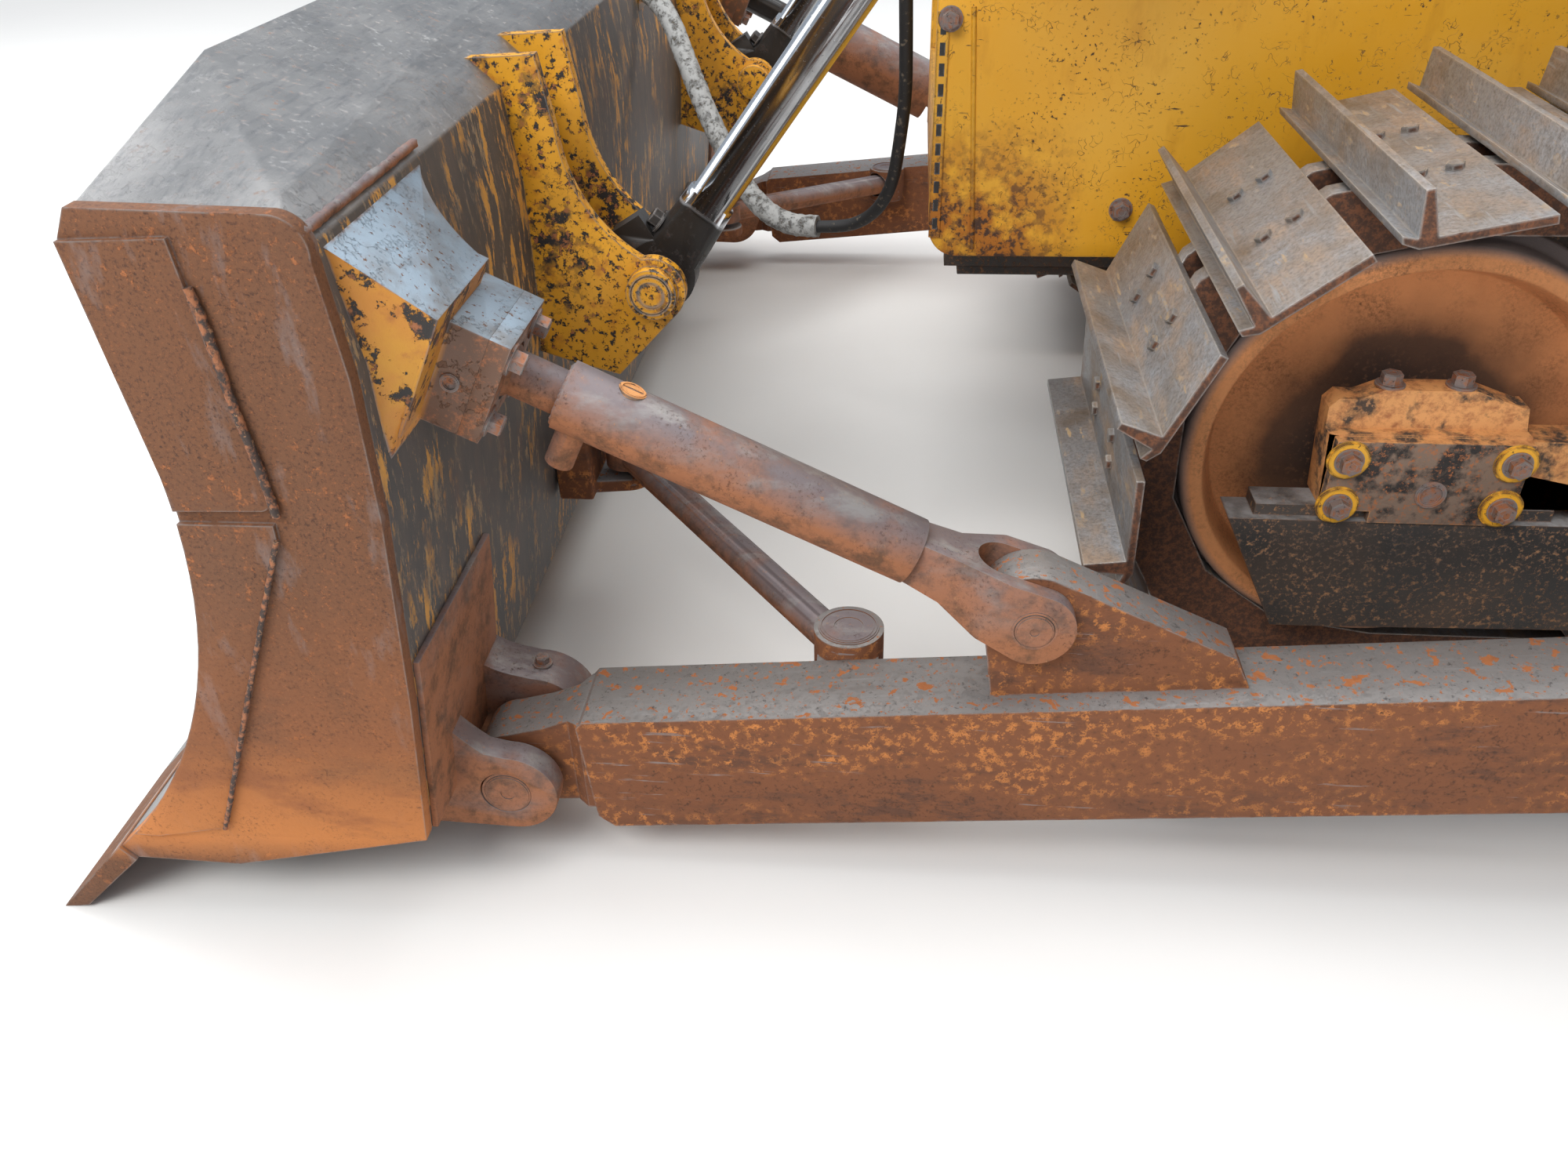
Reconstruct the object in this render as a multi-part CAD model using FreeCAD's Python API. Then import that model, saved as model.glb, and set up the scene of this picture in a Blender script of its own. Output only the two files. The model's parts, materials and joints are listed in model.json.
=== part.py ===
import FreeCAD
import Part
import math
import os

# A crawler tractor with a straight blade on outside push arms, in millimetres.
# X points forward, Y to the operator's left, Z up. The ground is Z = 0.
# Inside this file X is counted from the idler axle; the export moves it to
# the middle of the machine's length.

V = FreeCAD.Vector

# Track chain
track_pitch = 203.2
final_drive_r = 246.0
far_out = 3000.0
shoe_count = 41
idler_pin_r = 443.6
sprocket_pitches = 13
sprocket_rise = 36.0
grouser_tip = 134.0
grouser_height = 68.0
shoe_plate = 14.0
shoe_width = 705.0
shoe_gap = 7.0
grouser_ahead = 62.0
grouser_top = 13.0
grouser_root = 26.0
lip_ahead = 96.0
rail_below_pin = 58.0
rail_width = 42.0
rail_spread = 118.0
rail_sink = 2.0
tip_angle = 18.7
half_gauge = 984.5

# Idler, sprocket and rollers
idler_width = 185.0
idler_rim = 62.0
idler_web = 46.0
idler_hub_r = 120.0
idler_flange = 20.0
sprocket_width = 78.0
tooth_tip = 12.0
tooth_root = 34.0
roller_r = 106.0
roller_flange = 18.0
roller_count = 7
roller_first = 470.0
roller_last = 445.0
last_roller_lift = 4.2
carrier_r = 82.0

# Track frame
frame_half_width = 194.0
frame_web = 74.0
frame_top = 508.0
frame_bottom = 330.0
frame_nose = 303.0
frame_nose_foot = 191.0
frame_tail = 640.0
rail_strip = 22.0
block_half = 155.0
block_top = 665.0
block_width = 84.0
cover_plate = 18.0

# Push arms and their trunnions
trunnion_back = 1300.0
trunnion_z = 437.0
trunnion_r = 62.0
trunnion_ball_r = 84.0
arm_width = 146.0
arm_height = 234.0
arm_frame_gap = 240.5
arm_outer_y = half_gauge + frame_half_width + arm_frame_gap + arm_width
arm_inner_y = arm_outer_y - arm_width
arm_y = arm_outer_y - arm_width / 2
arm_stop = 130.0
arm_pin_x = 1502.0
arm_pin_z = 189.0
arm_pin_r = 38.0
arm_plate = 22.0
arm_eye_r = 74.0
arm_eye_width = 96.0
near_lug = 44.0
far_lug = 86.0
near_lug_r = 78.0
far_lug_r = 104.0
lug_gap = 18.0
doubler = 10.0

# Blade
blade_overhang = 170.0
blade_half = arm_outer_y + blade_overhang
end_plate = 34.0
end_lip = 24.0
wear_plate = 8.0
blade_skin = 24.0
blade_top = 1295.0
blade_corner_top = 1209.0
blade_corner_width = 435.0
end_bit_width = 340.0

# Lift cylinders
lift_y = 823.0
lift_pin_x = 1325.0
lift_pin_z = 807.0
lift_trunnion_x = 650.0
lift_trunnion_z = 1707.0
lift_rod_r = 40.0
lift_barrel_r = 78.0
lift_barrel_back = 840.0
lift_barrel_front = 175.0
lift_eye_r = 66.0
lift_eye_width = 60.0
bracket_plate = 25.0
bracket_gap = 166.0
bracket_eye_r = 60.0

# Braces
brace_y = arm_y - 9.0
brace_ball_x = 1447.0
brace_ball_z = 916.0
brace_ball_r = 50.0
open_ball_gap = 13.0
brace_fork_x = 660.0
brace_fork_z = 528.0
brace_pin_r = 30.0
fork_r = 62.0
fork_cheek = 28.0
gusset_width = 80.0
sleeve_r = 52.0
sleeve_start = 205.0
sleeve_end = 768.0
screw_r = 34.0
tilt_rod_r = 38.0
socket_half = 88.0
socket_high = 79.0
socket_depth = 55.0
cap_depth = 31.0
cap_hole_r = 45.0
box_wall = 16.0
diag_ball_r = 46.0
diag_tube_r = 32.0
diag_seat_r = 60.0
diag_seat_out = 62.0
diag_ball_x = 945.0
diag_ball_z = 325.0

# Tractor body
nose_half = 467.0
nose_front = 823.0
nose_core = 330.0
nose_back = -345.0
nose_bottom = 711.0
nose_top = 1870.0
nose_plate = 16.0
bare_hose_r = 14.0
sleeved_hose_r = 25.0
nose_corner = 60.0
stack_x = -470.0
cleaner_x = -800.0
hood_half = 410.0
hood_back = -1180.0
rail_y = 300.0
rail_plate = 60.0
frame_rail_bottom = 640.0
frame_rail_top = 900.0

# Rear attachment face
rear_pad = 20.0
rear_bolts_y = 340.0
rear_bolts_z = 240.0
rear_bolts_mid = 960.0
rear_bolt_r = 13.0
rear_bolt_margin = 45.0
drawbar_pin_r = 26.0

os.makedirs("parts", exist_ok=True)


def outline(points, axis):
    """Closed wire. A point (a, b) ends a line; (a, b, c, d) ends an arc through (c, d)."""
    to3 = {"y": lambda a, b: V(a, 0, b), "x": lambda a, b: V(0, a, b), "z": lambda a, b: V(a, b, 0)}[axis]
    edges = []
    last = to3(*points[-1][:2])
    for point in points:
        end = to3(*point[:2])
        if len(point) == 4:
            edges.append(Part.Arc(last, to3(*point[2:]), end).toShape())
        else:
            edges.append(Part.LineSegment(last, end).toShape())
        last = end
    return Part.Wire(edges)


def prism(points, axis, low, high):
    """Solid of an outline pushed along an axis from low to high."""
    along = {"y": V(0, 1, 0), "x": V(1, 0, 0), "z": V(0, 0, 1)}[axis]
    face = Part.Face(outline(points, axis))
    solid = face.extrude(along * (high - low))
    solid.translate(along * low)
    return solid


def box(x0, x1, y0, y1, z0, z1):
    return Part.makeBox(x1 - x0, y1 - y0, z1 - z0, V(x0, y0, z0))


def disc(x, z, radius, y0, y1):
    """Round bar across the machine."""
    return Part.makeCylinder(radius, y1 - y0, V(x, y0, z), V(0, 1, 0))


def bar(start, end, radius):
    """Round bar between two points."""
    a, b = V(*start), V(*end)
    return Part.makeCylinder(radius, (b - a).Length, a, b - a)


def turned(profile, x, y, z):
    """Solid turned about an axle across the machine from (radius, y) pairs."""
    points = [V(r, s, 0) for r, s in profile]
    wire = Part.makePolygon(points + [points[0]])
    solid = Part.Face(wire).revolve(V(0, 0, 0), V(0, 1, 0), 360)
    solid.translate(V(x, y, z))
    return solid


def along_arm(profile, y0, y1, start, end):
    """Prism of a profile drawn along a line from start to end in the XZ plane."""
    (sx, sz), (ex, ez) = start, end
    angle = math.degrees(math.atan2(ez - sz, ex - sx))
    solid = prism(profile, "y", y0, y1)
    solid.rotate(V(0, 0, 0), V(0, 1, 0), -angle)
    solid.translate(V(sx, 0, sz))
    return solid


def lever(foot, direction, length):
    """Tapered control stem with a turned knob, one solid."""
    profile = [(0, 0), (11, 0), (8, length), (20, length + 6), (24, length + 24), (17, length + 42), (0,
                                                                                                      length + 46)]
    wire = Part.makePolygon([V(r, 0, s) for r, s in profile + profile[:1]])
    solid = Part.Face(wire).revolve(V(0, 0, 0), V(0, 0, 1), 360)
    solid.rotate(V(0, 0, 0), V(0, 1, 0), math.degrees(math.atan2(direction[0], direction[2])))
    solid.translate(V(*foot))
    return solid


def fuse(solids):
    solids = list(solids)
    return solids[0].multiFuse(solids[1:]).removeSplitter() if len(solids) > 1 else solids[0]


def mirrored(shape):
    return shape.mirror(V(0, 0, 0), V(0, 1, 0))


def both(shape):
    """A left piece and its mirror image on the right."""
    return [shape, mirrored(shape)]


nodes = {}


def hose(points, r):
    """Round tube along straight runs joined by tangent arcs as large as the runs allow."""
    points = [V(*point) for point in points]
    start, edges, radii = points[0], [], []
    for before, corner, after in zip(points, points[1:], points[2:]):
        way_in, way_out = corner - before, after - corner
        half_turn = way_in.getAngle(way_out) / 2
        reach = 0.45 * min(way_in.Length, way_out.Length)
        radius = reach / math.tan(half_turn)
        way_in.normalize()
        way_out.normalize()
        inward = way_out - way_in
        inward.normalize()
        middle = corner + inward * (radius / math.cos(half_turn) - radius)
        entry, leave = corner - way_in * reach, corner + way_out * reach
        edges += [Part.LineSegment(start, entry).toShape(), Part.Arc(entry, middle, leave).toShape()]
        start = leave
        radii.append(round(radius))
    edges.append(Part.LineSegment(start, points[-1]).toShape())
    path = Part.Wire(edges)
    section = Part.Wire([Part.makeCircle(r, points[0], points[1] - points[0])])
    tube = path.makePipeShell([section], True, False)
    share = tube.Volume / (math.pi * r * r * path.Length)
    print("hose of length", round(path.Length), "bend radii", radii, "volume share", round(share, 4))
    return tube


def keep(name, shapes):
    shapes = shapes if isinstance(shapes, list) else [shapes]
    solids = [solid for shape in shapes for solid in shape.Solids]
    nodes[name] = solids[0] if len(solids) == 1 else Part.makeCompound(solids)


# Track path: the chain's pins run round idler, rearmost roller and sprocket
chain_z = grouser_tip
idler_z = chain_z + idler_pin_r
sprocket_pin_r = track_pitch / 2 / math.sin(math.pi / sprocket_pitches)
sprocket_z = chain_z + sprocket_pin_r + sprocket_rise
roller_z = chain_z + rail_below_pin + roller_r
roller_pin_r = roller_r + rail_below_pin


def belt(length):
    """Lines and arcs of the pin path, each with its count of pitches."""
    circles = [(0.0, idler_z, idler_pin_r), (roller_last - length, roller_z, roller_pin_r),
               (-length, sprocket_z, sprocket_pin_r)]
    normals = []
    for i, (x1, z1, r1) in enumerate(circles):
        x2, z2, r2 = circles[(i + 1) % 3]
        gap = math.hypot(x2 - x1, z2 - z1)
        toward = math.atan2(z2 - z1, x2 - x1)
        normals.append(toward + math.acos((r1 - r2) / gap))
    pieces = []
    for i, (x1, z1, r1) in enumerate(circles):
        x2, z2, r2 = circles[(i + 1) % 3]
        begin, stop = normals[i - 1], normals[i]
        turn = (begin - stop) % (2 * math.pi)
        step = 2 * math.asin(track_pitch / 2 / r1)
        pieces.append(("arc", x1, z1, r1, begin, turn, turn / step))
        ax, az = x1 + r1 * math.cos(stop), z1 + r1 * math.sin(stop)
        bx, bz = x2 + r2 * math.cos(stop), z2 + r2 * math.sin(stop)
        pieces.append(("line", ax, az, bx, bz, None, math.hypot(bx - ax, bz - az) / track_pitch))
    return pieces


def pitches(length):
    return sum(piece[-1] for piece in belt(length))


axle_gap = 2600.0
for _ in range(12):
    axle_gap += (shoe_count - pitches(axle_gap)) * track_pitch / 2
path = belt(axle_gap)


def pin_at(count):
    """Pin centre after a count of pitches from the start of the idler's arc."""
    count %= shoe_count
    for kind, a, b, c, d, turn, length in path:
        if count > length:
            count -= length
            continue
        share = count / length
        if kind == "arc":
            angle = d - turn * share
            return a + c * math.cos(angle), b + c * math.sin(angle)
        return a + (c - a) * share, b + (d - b) * share
    return pin_at(0.0)


idler_step = 2 * math.asin(track_pitch / 2 / idler_pin_r)
idler_flat = idler_pin_r * math.cos(idler_step / 2)
link_angle = math.radians(tip_angle) + math.atan(grouser_ahead / (idler_flat + grouser_tip))
first_pin = ((path[0][4] - link_angle) / idler_step - 0.5) % 1.0
plate_out = grouser_tip - grouser_height
plate_in = plate_out - shoe_plate

# One shoe seen from the side: (along the chain, outward)
shoe_back = lip_ahead - track_pitch + shoe_gap
shoe_profile = [
    (shoe_back, plate_in),
    (lip_ahead - 22, plate_in),
    (lip_ahead, plate_in + 12),
    (lip_ahead, plate_out + 10),
    (grouser_ahead + grouser_root / 2, plate_out + 2),
    (grouser_ahead + grouser_top / 2, grouser_tip),
    (grouser_ahead - grouser_top / 2, grouser_tip),
    (grouser_ahead - grouser_root / 2, plate_out),
    (shoe_back, plate_out),
]


def track(side_y):
    """Closed chain: two rails of links with a shoe on every pitch."""
    pins = [pin_at(first_pin + k) for k in range(shoe_count)]
    rail_out, rail_in = [], []
    shoes = []
    for k, (x, z) in enumerate(pins):
        (bx, bz), (ax, az) = pins[k - 1], pins[(k + 1) % shoe_count]
        before, after = math.atan2(z - bz, x - bx), math.atan2(az - z, ax - x)
        half_turn = ((after - before + math.pi) % (2 * math.pi) - math.pi) / 2
        out = before + half_turn + math.pi / 2
        for points, offset in ((rail_out, plate_in + rail_sink), (rail_in, -rail_below_pin)):
            reach = offset / math.cos(half_turn)
            points.append((x + reach * math.cos(out), z + reach * math.sin(out)))
    for k, (ax, az) in enumerate(pins):
        bx, bz = pins[(k + 1) % shoe_count]
        angle = math.atan2(bz - az, bx - ax)
        ux, uz = math.cos(angle), math.sin(angle)
        mx, mz = (ax + bx) / 2, (az + bz) / 2
        turn = lambda u, v: (mx + ux * u - uz * v, mz + uz * u + ux * v)
        corners = [turn(u, v) for u, v in shoe_profile]
        shoes.append(prism(corners, "y", side_y - shoe_width / 2, side_y + shoe_width / 2))
    rails = []
    for offset in (-rail_spread / 2, rail_spread / 2):
        low = side_y + offset - rail_width / 2
        outer = prism(rail_out, "y", low, low + rail_width)
        inner = prism(rail_in, "y", low, low + rail_width)
        rails.append(outer.cut(inner))
    return rails[0].multiFuse([rails[1]] + shoes)


left_track = track(half_gauge)
keep("track_left", left_track)
keep("track_right", mirrored(left_track))

# Idler: rim, dished web and hub, with a raised centre flange between the rails
tread_r = idler_flat - rail_below_pin
w = idler_width / 2
idler = turned([
    (30, -w * 0.9), (idler_hub_r, -w * 0.9), (idler_hub_r, -idler_web / 2 - 14),
    (tread_r - idler_rim, -idler_web / 2), (tread_r - idler_rim + 24, -w), (tread_r - 8, -w),
    (tread_r - 1, -w + 8), (tread_r - 1, -31), (tread_r + idler_flange, -25), (tread_r + idler_flange, 25),
    (tread_r - 1, 31), (tread_r - 1, w - 8), (tread_r - 8, w), (tread_r - idler_rim + 24, w),
    (tread_r - idler_rim, idler_web / 2), (idler_hub_r, idler_web / 2 + 14), (idler_hub_r, w * 0.9), (30,
                                                                                                      w * 0.9),
], 0, half_gauge, idler_z)
idler_axle = disc(0, idler_z, 30, half_gauge - frame_half_width + 30, half_gauge + frame_half_width - 30)
keep("idlers", both(fuse([idler, idler_axle])))

# Sprocket: toothed rim on a dished disc
sprocket_x = -axle_gap
tooth_points = []
tooth_step = math.pi / sprocket_pitches
pin_offset = math.atan2(pin_at(first_pin + 25)[1] - sprocket_z, pin_at(first_pin + 25)[0] - sprocket_x)
for k in range(2 * sprocket_pitches):
    a = pin_offset + k * tooth_step
    for share, r in ((-0.22, sprocket_pin_r - tooth_root), (0.22, sprocket_pin_r - tooth_root),
                     (0.42, sprocket_pin_r + tooth_tip), (0.58, sprocket_pin_r + tooth_tip)):
        b = a + share * tooth_step
        tooth_points.append((sprocket_x + r * math.cos(b), sprocket_z + r * math.sin(b)))
rim = prism(tooth_points, "y", half_gauge - sprocket_width / 2 + 12, half_gauge + sprocket_width / 2 - 12)
keep("sprockets", both(rim.cut(disc(sprocket_x, sprocket_z, final_drive_r + 0.3, 0, far_out))))

# Final drives: bell inside the track, hub through the sprocket and an outer cover
bell = turned([(0, -half_gauge + 420), (250, -half_gauge + 420), (300, -half_gauge + 520), (300, -170),
               (final_drive_r, -100), (final_drive_r, 120), (200, 168), (120, 182), (0, 182)], sprocket_x, half_gauge,
              sprocket_z)
keep("final_drives", both(bell))

block_foot_z = frame_top + rail_strip

# Track frame: two side beams that straddle the idler, closed over the rollers
tail_x = frame_tail - axle_gap
side_beam = prism([(tail_x, frame_bottom + 60), (tail_x + 120, frame_bottom), (frame_nose_foot - 60,
                                                                               frame_bottom - 45),
                   (frame_nose_foot, frame_bottom - 45), (frame_nose, frame_top), (-560, frame_top),
                   (-680, frame_top + 70), (tail_x + 60, frame_top + 70), (tail_x, frame_top)],
                  "y", half_gauge + frame_half_width - frame_web, half_gauge + frame_half_width)
beams = [side_beam, side_beam.mirror(V(0, half_gauge, 0), V(0, 1, 0))]
deck = box(tail_x, -560, half_gauge - frame_half_width, half_gauge + frame_half_width, frame_top - 70,
           frame_top + 70)
recoil = bar((-620, half_gauge, frame_top + 32), (-530.3, half_gauge, frame_top + 32), 44)
rails = [box(-230, frame_nose - 45, half_gauge + s * (frame_half_width - 44) - 30,
             half_gauge + s * (frame_half_width - 44) + 30, frame_top - 1, block_foot_z) for s in (-1, 1)]
trunnion_post = prism([(-trunnion_back - 190, frame_bottom + 10), (-trunnion_back + 190, frame_bottom + 10),
                       (-trunnion_back + 120, frame_top + 60), (-trunnion_back - 120, frame_top + 60)],
                      "y", half_gauge + frame_half_width - 2, half_gauge + frame_half_width + 60)
trunnion = disc(-trunnion_back, trunnion_z, trunnion_r, half_gauge + frame_half_width,
                arm_outer_y - arm_width / 2 + 20)
keep("track_frames", both(fuse(beams + [deck, recoil] + rails + [trunnion_post, trunnion])))

# Idler bearing blocks slide on the frame's rails: body, bolted cap, cover plate and yoke
block_foot = frame_top + rail_strip
block_side = frame_half_width - 2
block_parts = []
for s in (-1, 1):
    inner, outer = sorted((half_gauge + s * (block_side - block_width),
                           half_gauge + s * (block_side - cover_plate + 4)))
    body = prism([(-block_half + 5, block_foot + 0.3), (block_half, block_foot + 0.3), (block_half + 10,
                                                                                        block_top),
                  (block_half + 12, block_top + 36), (block_half - 2, block_top + 52), (-block_half + 8,
                                                                                        block_top + 40),
                  (-block_half, block_top)], "y", inner, outer)
    ledge_in, ledge_out = sorted((half_gauge + s * (block_side - 38), half_gauge + s * (block_side + 1)))
    ledge = box(-block_half - 60, block_half + 60, ledge_in, ledge_out, block_top, block_top + 200)
    cap_in, cap_out = sorted((half_gauge + s * (block_side - block_width),
                              half_gauge + s * (block_side - 38)))
    cap = prism([(-block_half + 30, block_top - 10), (block_half - 30, block_top - 10), (block_half - 10,
                                                                                         block_top + 40),
                 (85, block_top + 68), (-60, block_top + 68), (-block_half + 12, block_top + 38)], "y",
                cap_in, cap_out)
    plate_in, plate_out = sorted((half_gauge + s * (block_side - cover_plate),
                                  half_gauge + s * (block_side + 6)))
    plate = box(-block_half, block_half, plate_in, plate_out, block_foot + 0.5, block_top - 4)
    tab_in, tab_out = sorted((half_gauge + s * (block_side - 10), half_gauge + s * (block_side + 6)))
    tab = box(-118, 75, tab_in, tab_out, frame_top + 0.5, block_foot + 40)
    arm_in, arm_out = sorted((half_gauge + s * (block_side - block_width + 6),
                              half_gauge + s * (block_side - 14)))
    yoke_arm = box(-470, -block_half + 20, arm_in, arm_out, block_foot + 0.3, block_top - 8)
    block_parts += [body.cut(ledge), cap, plate, tab, yoke_arm]
yoke_bridge = box(-530, -468, half_gauge - frame_half_width + 18, half_gauge + frame_half_width - 18,
                  frame_top + 1, block_top - 40)
idler_block = fuse(block_parts + [yoke_bridge])
hub_bore = disc(0, idler_z, 30.3, half_gauge - block_side + cover_plate - 2,
                half_gauge + block_side - cover_plate + 2)
keep("idler_blocks", both(idler_block.cut(hub_bore)))

# Track rollers under the frame and two carrier rollers above it
roller_span = (axle_gap - roller_first - roller_last) / (roller_count - 1)
rollers = []
h = frame_half_width - frame_web - 0.3
tread_in = rail_spread / 2 - rail_width / 2
tread_out = rail_spread / 2 + rail_width / 2 + 3
half_roller = [(44, -h), (roller_r + roller_flange, -tread_out - 12), (roller_r + roller_flange,
                                                                       -tread_out),
               (roller_r, -tread_out), (roller_r, -tread_in), (roller_r - 26, -tread_in + 6)]
roller_profile = [(0, -h)] + half_roller + [(r, -y) for r, y in reversed(half_roller)] + [(0, h)]
for k in range(roller_count):
    x = -roller_first - k * roller_span
    lift = last_roller_lift if k == roller_count - 1 else 0.5
    rollers.append(turned(roller_profile, x, half_gauge, roller_z + lift))
carrier_x = -axle_gap / 2 + 120
carrier_z = pin_at(0)[1] - rail_below_pin - carrier_r
carrier_post = box(carrier_x - 50, carrier_x + 50, half_gauge - 60, half_gauge + 60, frame_top + 70, carrier_z)
carrier = turned([(0, -105), (carrier_r, -105), (carrier_r, 105), (0, 105)], carrier_x, half_gauge, carrier_z - 4)
rollers.append(fuse([carrier, carrier_post]))
keep("track_rollers", both(Part.makeCompound(rollers)))

# Main frame: two rails, cross members, equaliser bar and pivot shafts
frame_back = -axle_gap + 430
rails = [box(frame_back, nose_front - 40, s * rail_y - rail_plate / 2, s * rail_y + rail_plate / 2,
             frame_rail_bottom, frame_rail_top) for s in (-1, 1)]
ties = [box(x - 60, x + 60, -rail_y, rail_y, frame_rail_bottom + 5, frame_rail_bottom + 60) for x in (210,
                                                                                                      -1280)]
bar_end = half_gauge - frame_half_width - 0.3
equaliser = prism([(-bar_end, 400), (-260, 540), (260, 540), (bar_end, 400), (bar_end, 490), (200,
                                                                                              frame_rail_bottom),
                   (-200, frame_rail_bottom), (-bar_end, 490)], "x", -420, -280)
pivot = disc(-axle_gap + 700, 560, 70, -half_gauge + frame_half_width + 0.3,
             half_gauge - frame_half_width - 0.3)
hangers = [box(-axle_gap + 600, -axle_gap + 800, s * rail_y - 30, s * rail_y + 30, 500, 660) for s in (-1,
                                                                                                       1)]
keep("main_frame", fuse(rails + ties + [equaliser, pivot] + hangers))

# Belly guards under engine and transmission, ahead of and behind the equaliser bar
guards = [box(x0, x1, -rail_y - 28, rail_y + 28, frame_rail_bottom - 20.3, frame_rail_bottom - 0.3)
          for x0, x1 in ((-260, nose_front - 70), (-1480, -430))]
keep("belly_guard", guards)

# Radiator guard: side plates back past the fan, top and front frame, open inside
nose_side = prism([(nose_back, nose_bottom), (nose_front - nose_corner, nose_bottom),
                   (nose_front, nose_bottom + nose_corner, nose_front - 0.293 * nose_corner,
                    nose_bottom + 0.293 * nose_corner),
                   (nose_front, nose_top - nose_corner), (nose_front - nose_corner, nose_top), (nose_back,
                                                                                                nose_top)],
                  "y", -nose_half, nose_half)


def nose_section(inset):
    """Nose seen from the front, with rounded upper corners."""
    half, top, r = nose_half - inset, nose_top - inset, nose_corner - inset
    return [(-half, nose_bottom - 1), (half, nose_bottom - 1), (half, top - r),
            (half - r, top, half - 0.293 * r, top - 0.293 * r), (-half + r, top),
            (-half, top - r, -half + 0.293 * r, top - 0.293 * r)]


nose_outer = nose_side.common(prism(nose_section(0), "x", nose_back, nose_front))
nose_inner = prism(nose_section(nose_plate), "x", nose_core, nose_front - 60)
nose_inner = nose_inner.cut(box(nose_core - 1, nose_front, -nose_half, nose_half, nose_bottom - 2,
                                frame_rail_top + 4))
nose_rear = prism(nose_section(nose_plate), "x", nose_back - 1, nose_core)
nose_window = box(nose_front - 100, nose_front + 1, -nose_half + 90, nose_half - 90, frame_rail_top + 60,
                  nose_top - 120)
nose = nose_outer.cut(nose_inner).cut(nose_rear).cut(nose_window)
for s in (-1, 1):
    nose = nose.cut(box(nose_core - 1, nose_front - 38, s * rail_y - 31, s * rail_y + 31, nose_bottom - 1,
                        frame_rail_top + 10))

# Hose from the nose to the blade: a bare length, then two lengths in a woven sleeve
bare_route = [(893, 420, 1490), (890, 411, 1360), (886, 393, 1235), (882, 368, 1115), (880, 340, 1005),
              (890, 322, 909), (901, 304, 824), (927, 277, 759), (966, 253, 717), (1018, 232, 694), (1075,
                                                                                                     216, 690)]
lower_route = [(1075, 216, 690), (1132, 200, 686), (1188, 178, 702), (1243, 138, 740), (1289, 84, 793),
               (1320, 42, 838)]
upper_route = [(1320, 42, 838), (1351, 0, 883), (1392, -64, 950), (1430, -126, 1018), (1462, -181, 1070),
               (1494, -219, 1101), (1524, -243, 1120)]
keep("nose_hose", hose(bare_route, bare_hose_r))
keep("sleeve_lower", hose(lower_route, sleeved_hose_r))
keep("sleeve_upper", hose(upper_route, sleeved_hose_r))
hose_start = V(*bare_route[0])
upward = hose_start - V(*bare_route[1])
upward.normalize()
bend = hose_start + upward * 44
elbow = fuse([bar((nose_front - 10, bend.y, bend.z), bend, 21), Part.makeSphere(24, bend), bar(hose_start,
                                                                                               bend, 20),
              bar((nose_front - 1, bend.y, bend.z), (nose_front + 18, bend.y, bend.z), 30)])
keep("radiator_guard", fuse([nose, elbow]))

# Grille bars across the nose's window
bars = []
bar_pitch = 74.0
z = frame_rail_top + 60
frame_bars = [box(nose_front - 50, nose_front - 20, s * (nose_half - 110) - 20, s * (nose_half - 110) + 20,
                  frame_rail_top + 60.3, nose_top - 120.3) for s in (-1, 0, 1)]
count = int((nose_top - 120 - z) / bar_pitch)
for k in range(count):
    zk = z + bar_pitch * (k + 0.5)
    bars.append(prism([(nose_front - 48, zk - 18), (nose_front - 40, zk - 22), (nose_front - 22, zk + 14),
                       (nose_front - 30, zk + 20)], "y", -nose_half + 90.3, nose_half - 90.3))
keep("grille", fuse(frame_bars + bars))
keep("radiator", box(nose_core + 150, nose_core + 290, -nose_half + nose_plate + 0.3,
                     nose_half - nose_plate - 0.3,
                     frame_rail_top + 40, nose_top - nose_plate - 40))

# Hood: a bent sheet from nose to dash
hood_shell = prism([(-hood_half, nose_top - 300), (-hood_half, nose_top - 60),
                    (-hood_half + 60, nose_top - 4, -hood_half + 16, nose_top - 20), (hood_half - 60,
                                                                                      nose_top - 4),
                    (hood_half, nose_top - 60, hood_half - 16, nose_top - 20), (hood_half, nose_top - 300),
                    (hood_half - 8, nose_top - 300), (hood_half - 8, nose_top - 62),
                    (hood_half - 62, nose_top - 12, hood_half - 22, nose_top - 27), (-hood_half + 62,
                                                                                     nose_top - 12),
                    (-hood_half + 8, nose_top - 62, -hood_half + 22, nose_top - 27),
                    (-hood_half + 8, nose_top - 300)], "x", hood_back, nose_back - 0.3)
stack_hole = Part.makeCylinder(78, 400, V(stack_x, 130, nose_top - 200))
cleaner_hole = Part.makeCylinder(92, 400, V(cleaner_x, -110, nose_top - 200))
keep("hood", hood_shell.cut(stack_hole).cut(cleaner_hole))

# Engine between the frame rails
block = box(-1020, 60, -240, 240, 880, 1330)
head = box(-980, 20, -150, 150, 1330, 1450)
covers = [prism([(-110, 1450), (110, 1450), (90, 1540), (-90, 1540)], "x", -960 + 340 * k,
                -960 + 340 * k + 300)
          for k in range(3)]
sump = prism([(-190, 700), (190, 700), (240, 880), (-240, 880)], "x", -980, 20)
flywheel = Part.makeCylinder(300, 160, V(-1180, 0, 1060), V(1, 0, 0))
fan_hub = Part.makeCylinder(60, 150, V(60, 0, 1300), V(1, 0, 0))
blades = []
for k in range(6):
    blade = box(150, 186, -45, 45, 40, 380)
    blade.rotate(V(168, 0, 0), V(0, 0, 1), 28)
    blade.rotate(V(0, 0, 0), V(1, 0, 0), 60 * k)
    blade.translate(V(0, 0, 1300))
    blades.append(blade)
manifold = bar((-940, 200, 1400), (-80, 200, 1400), 46)
ports = [bar((-880 + 165 * k, 140, 1400), (-880 + 165 * k, 205, 1400), 34) for k in range(6)]
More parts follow.
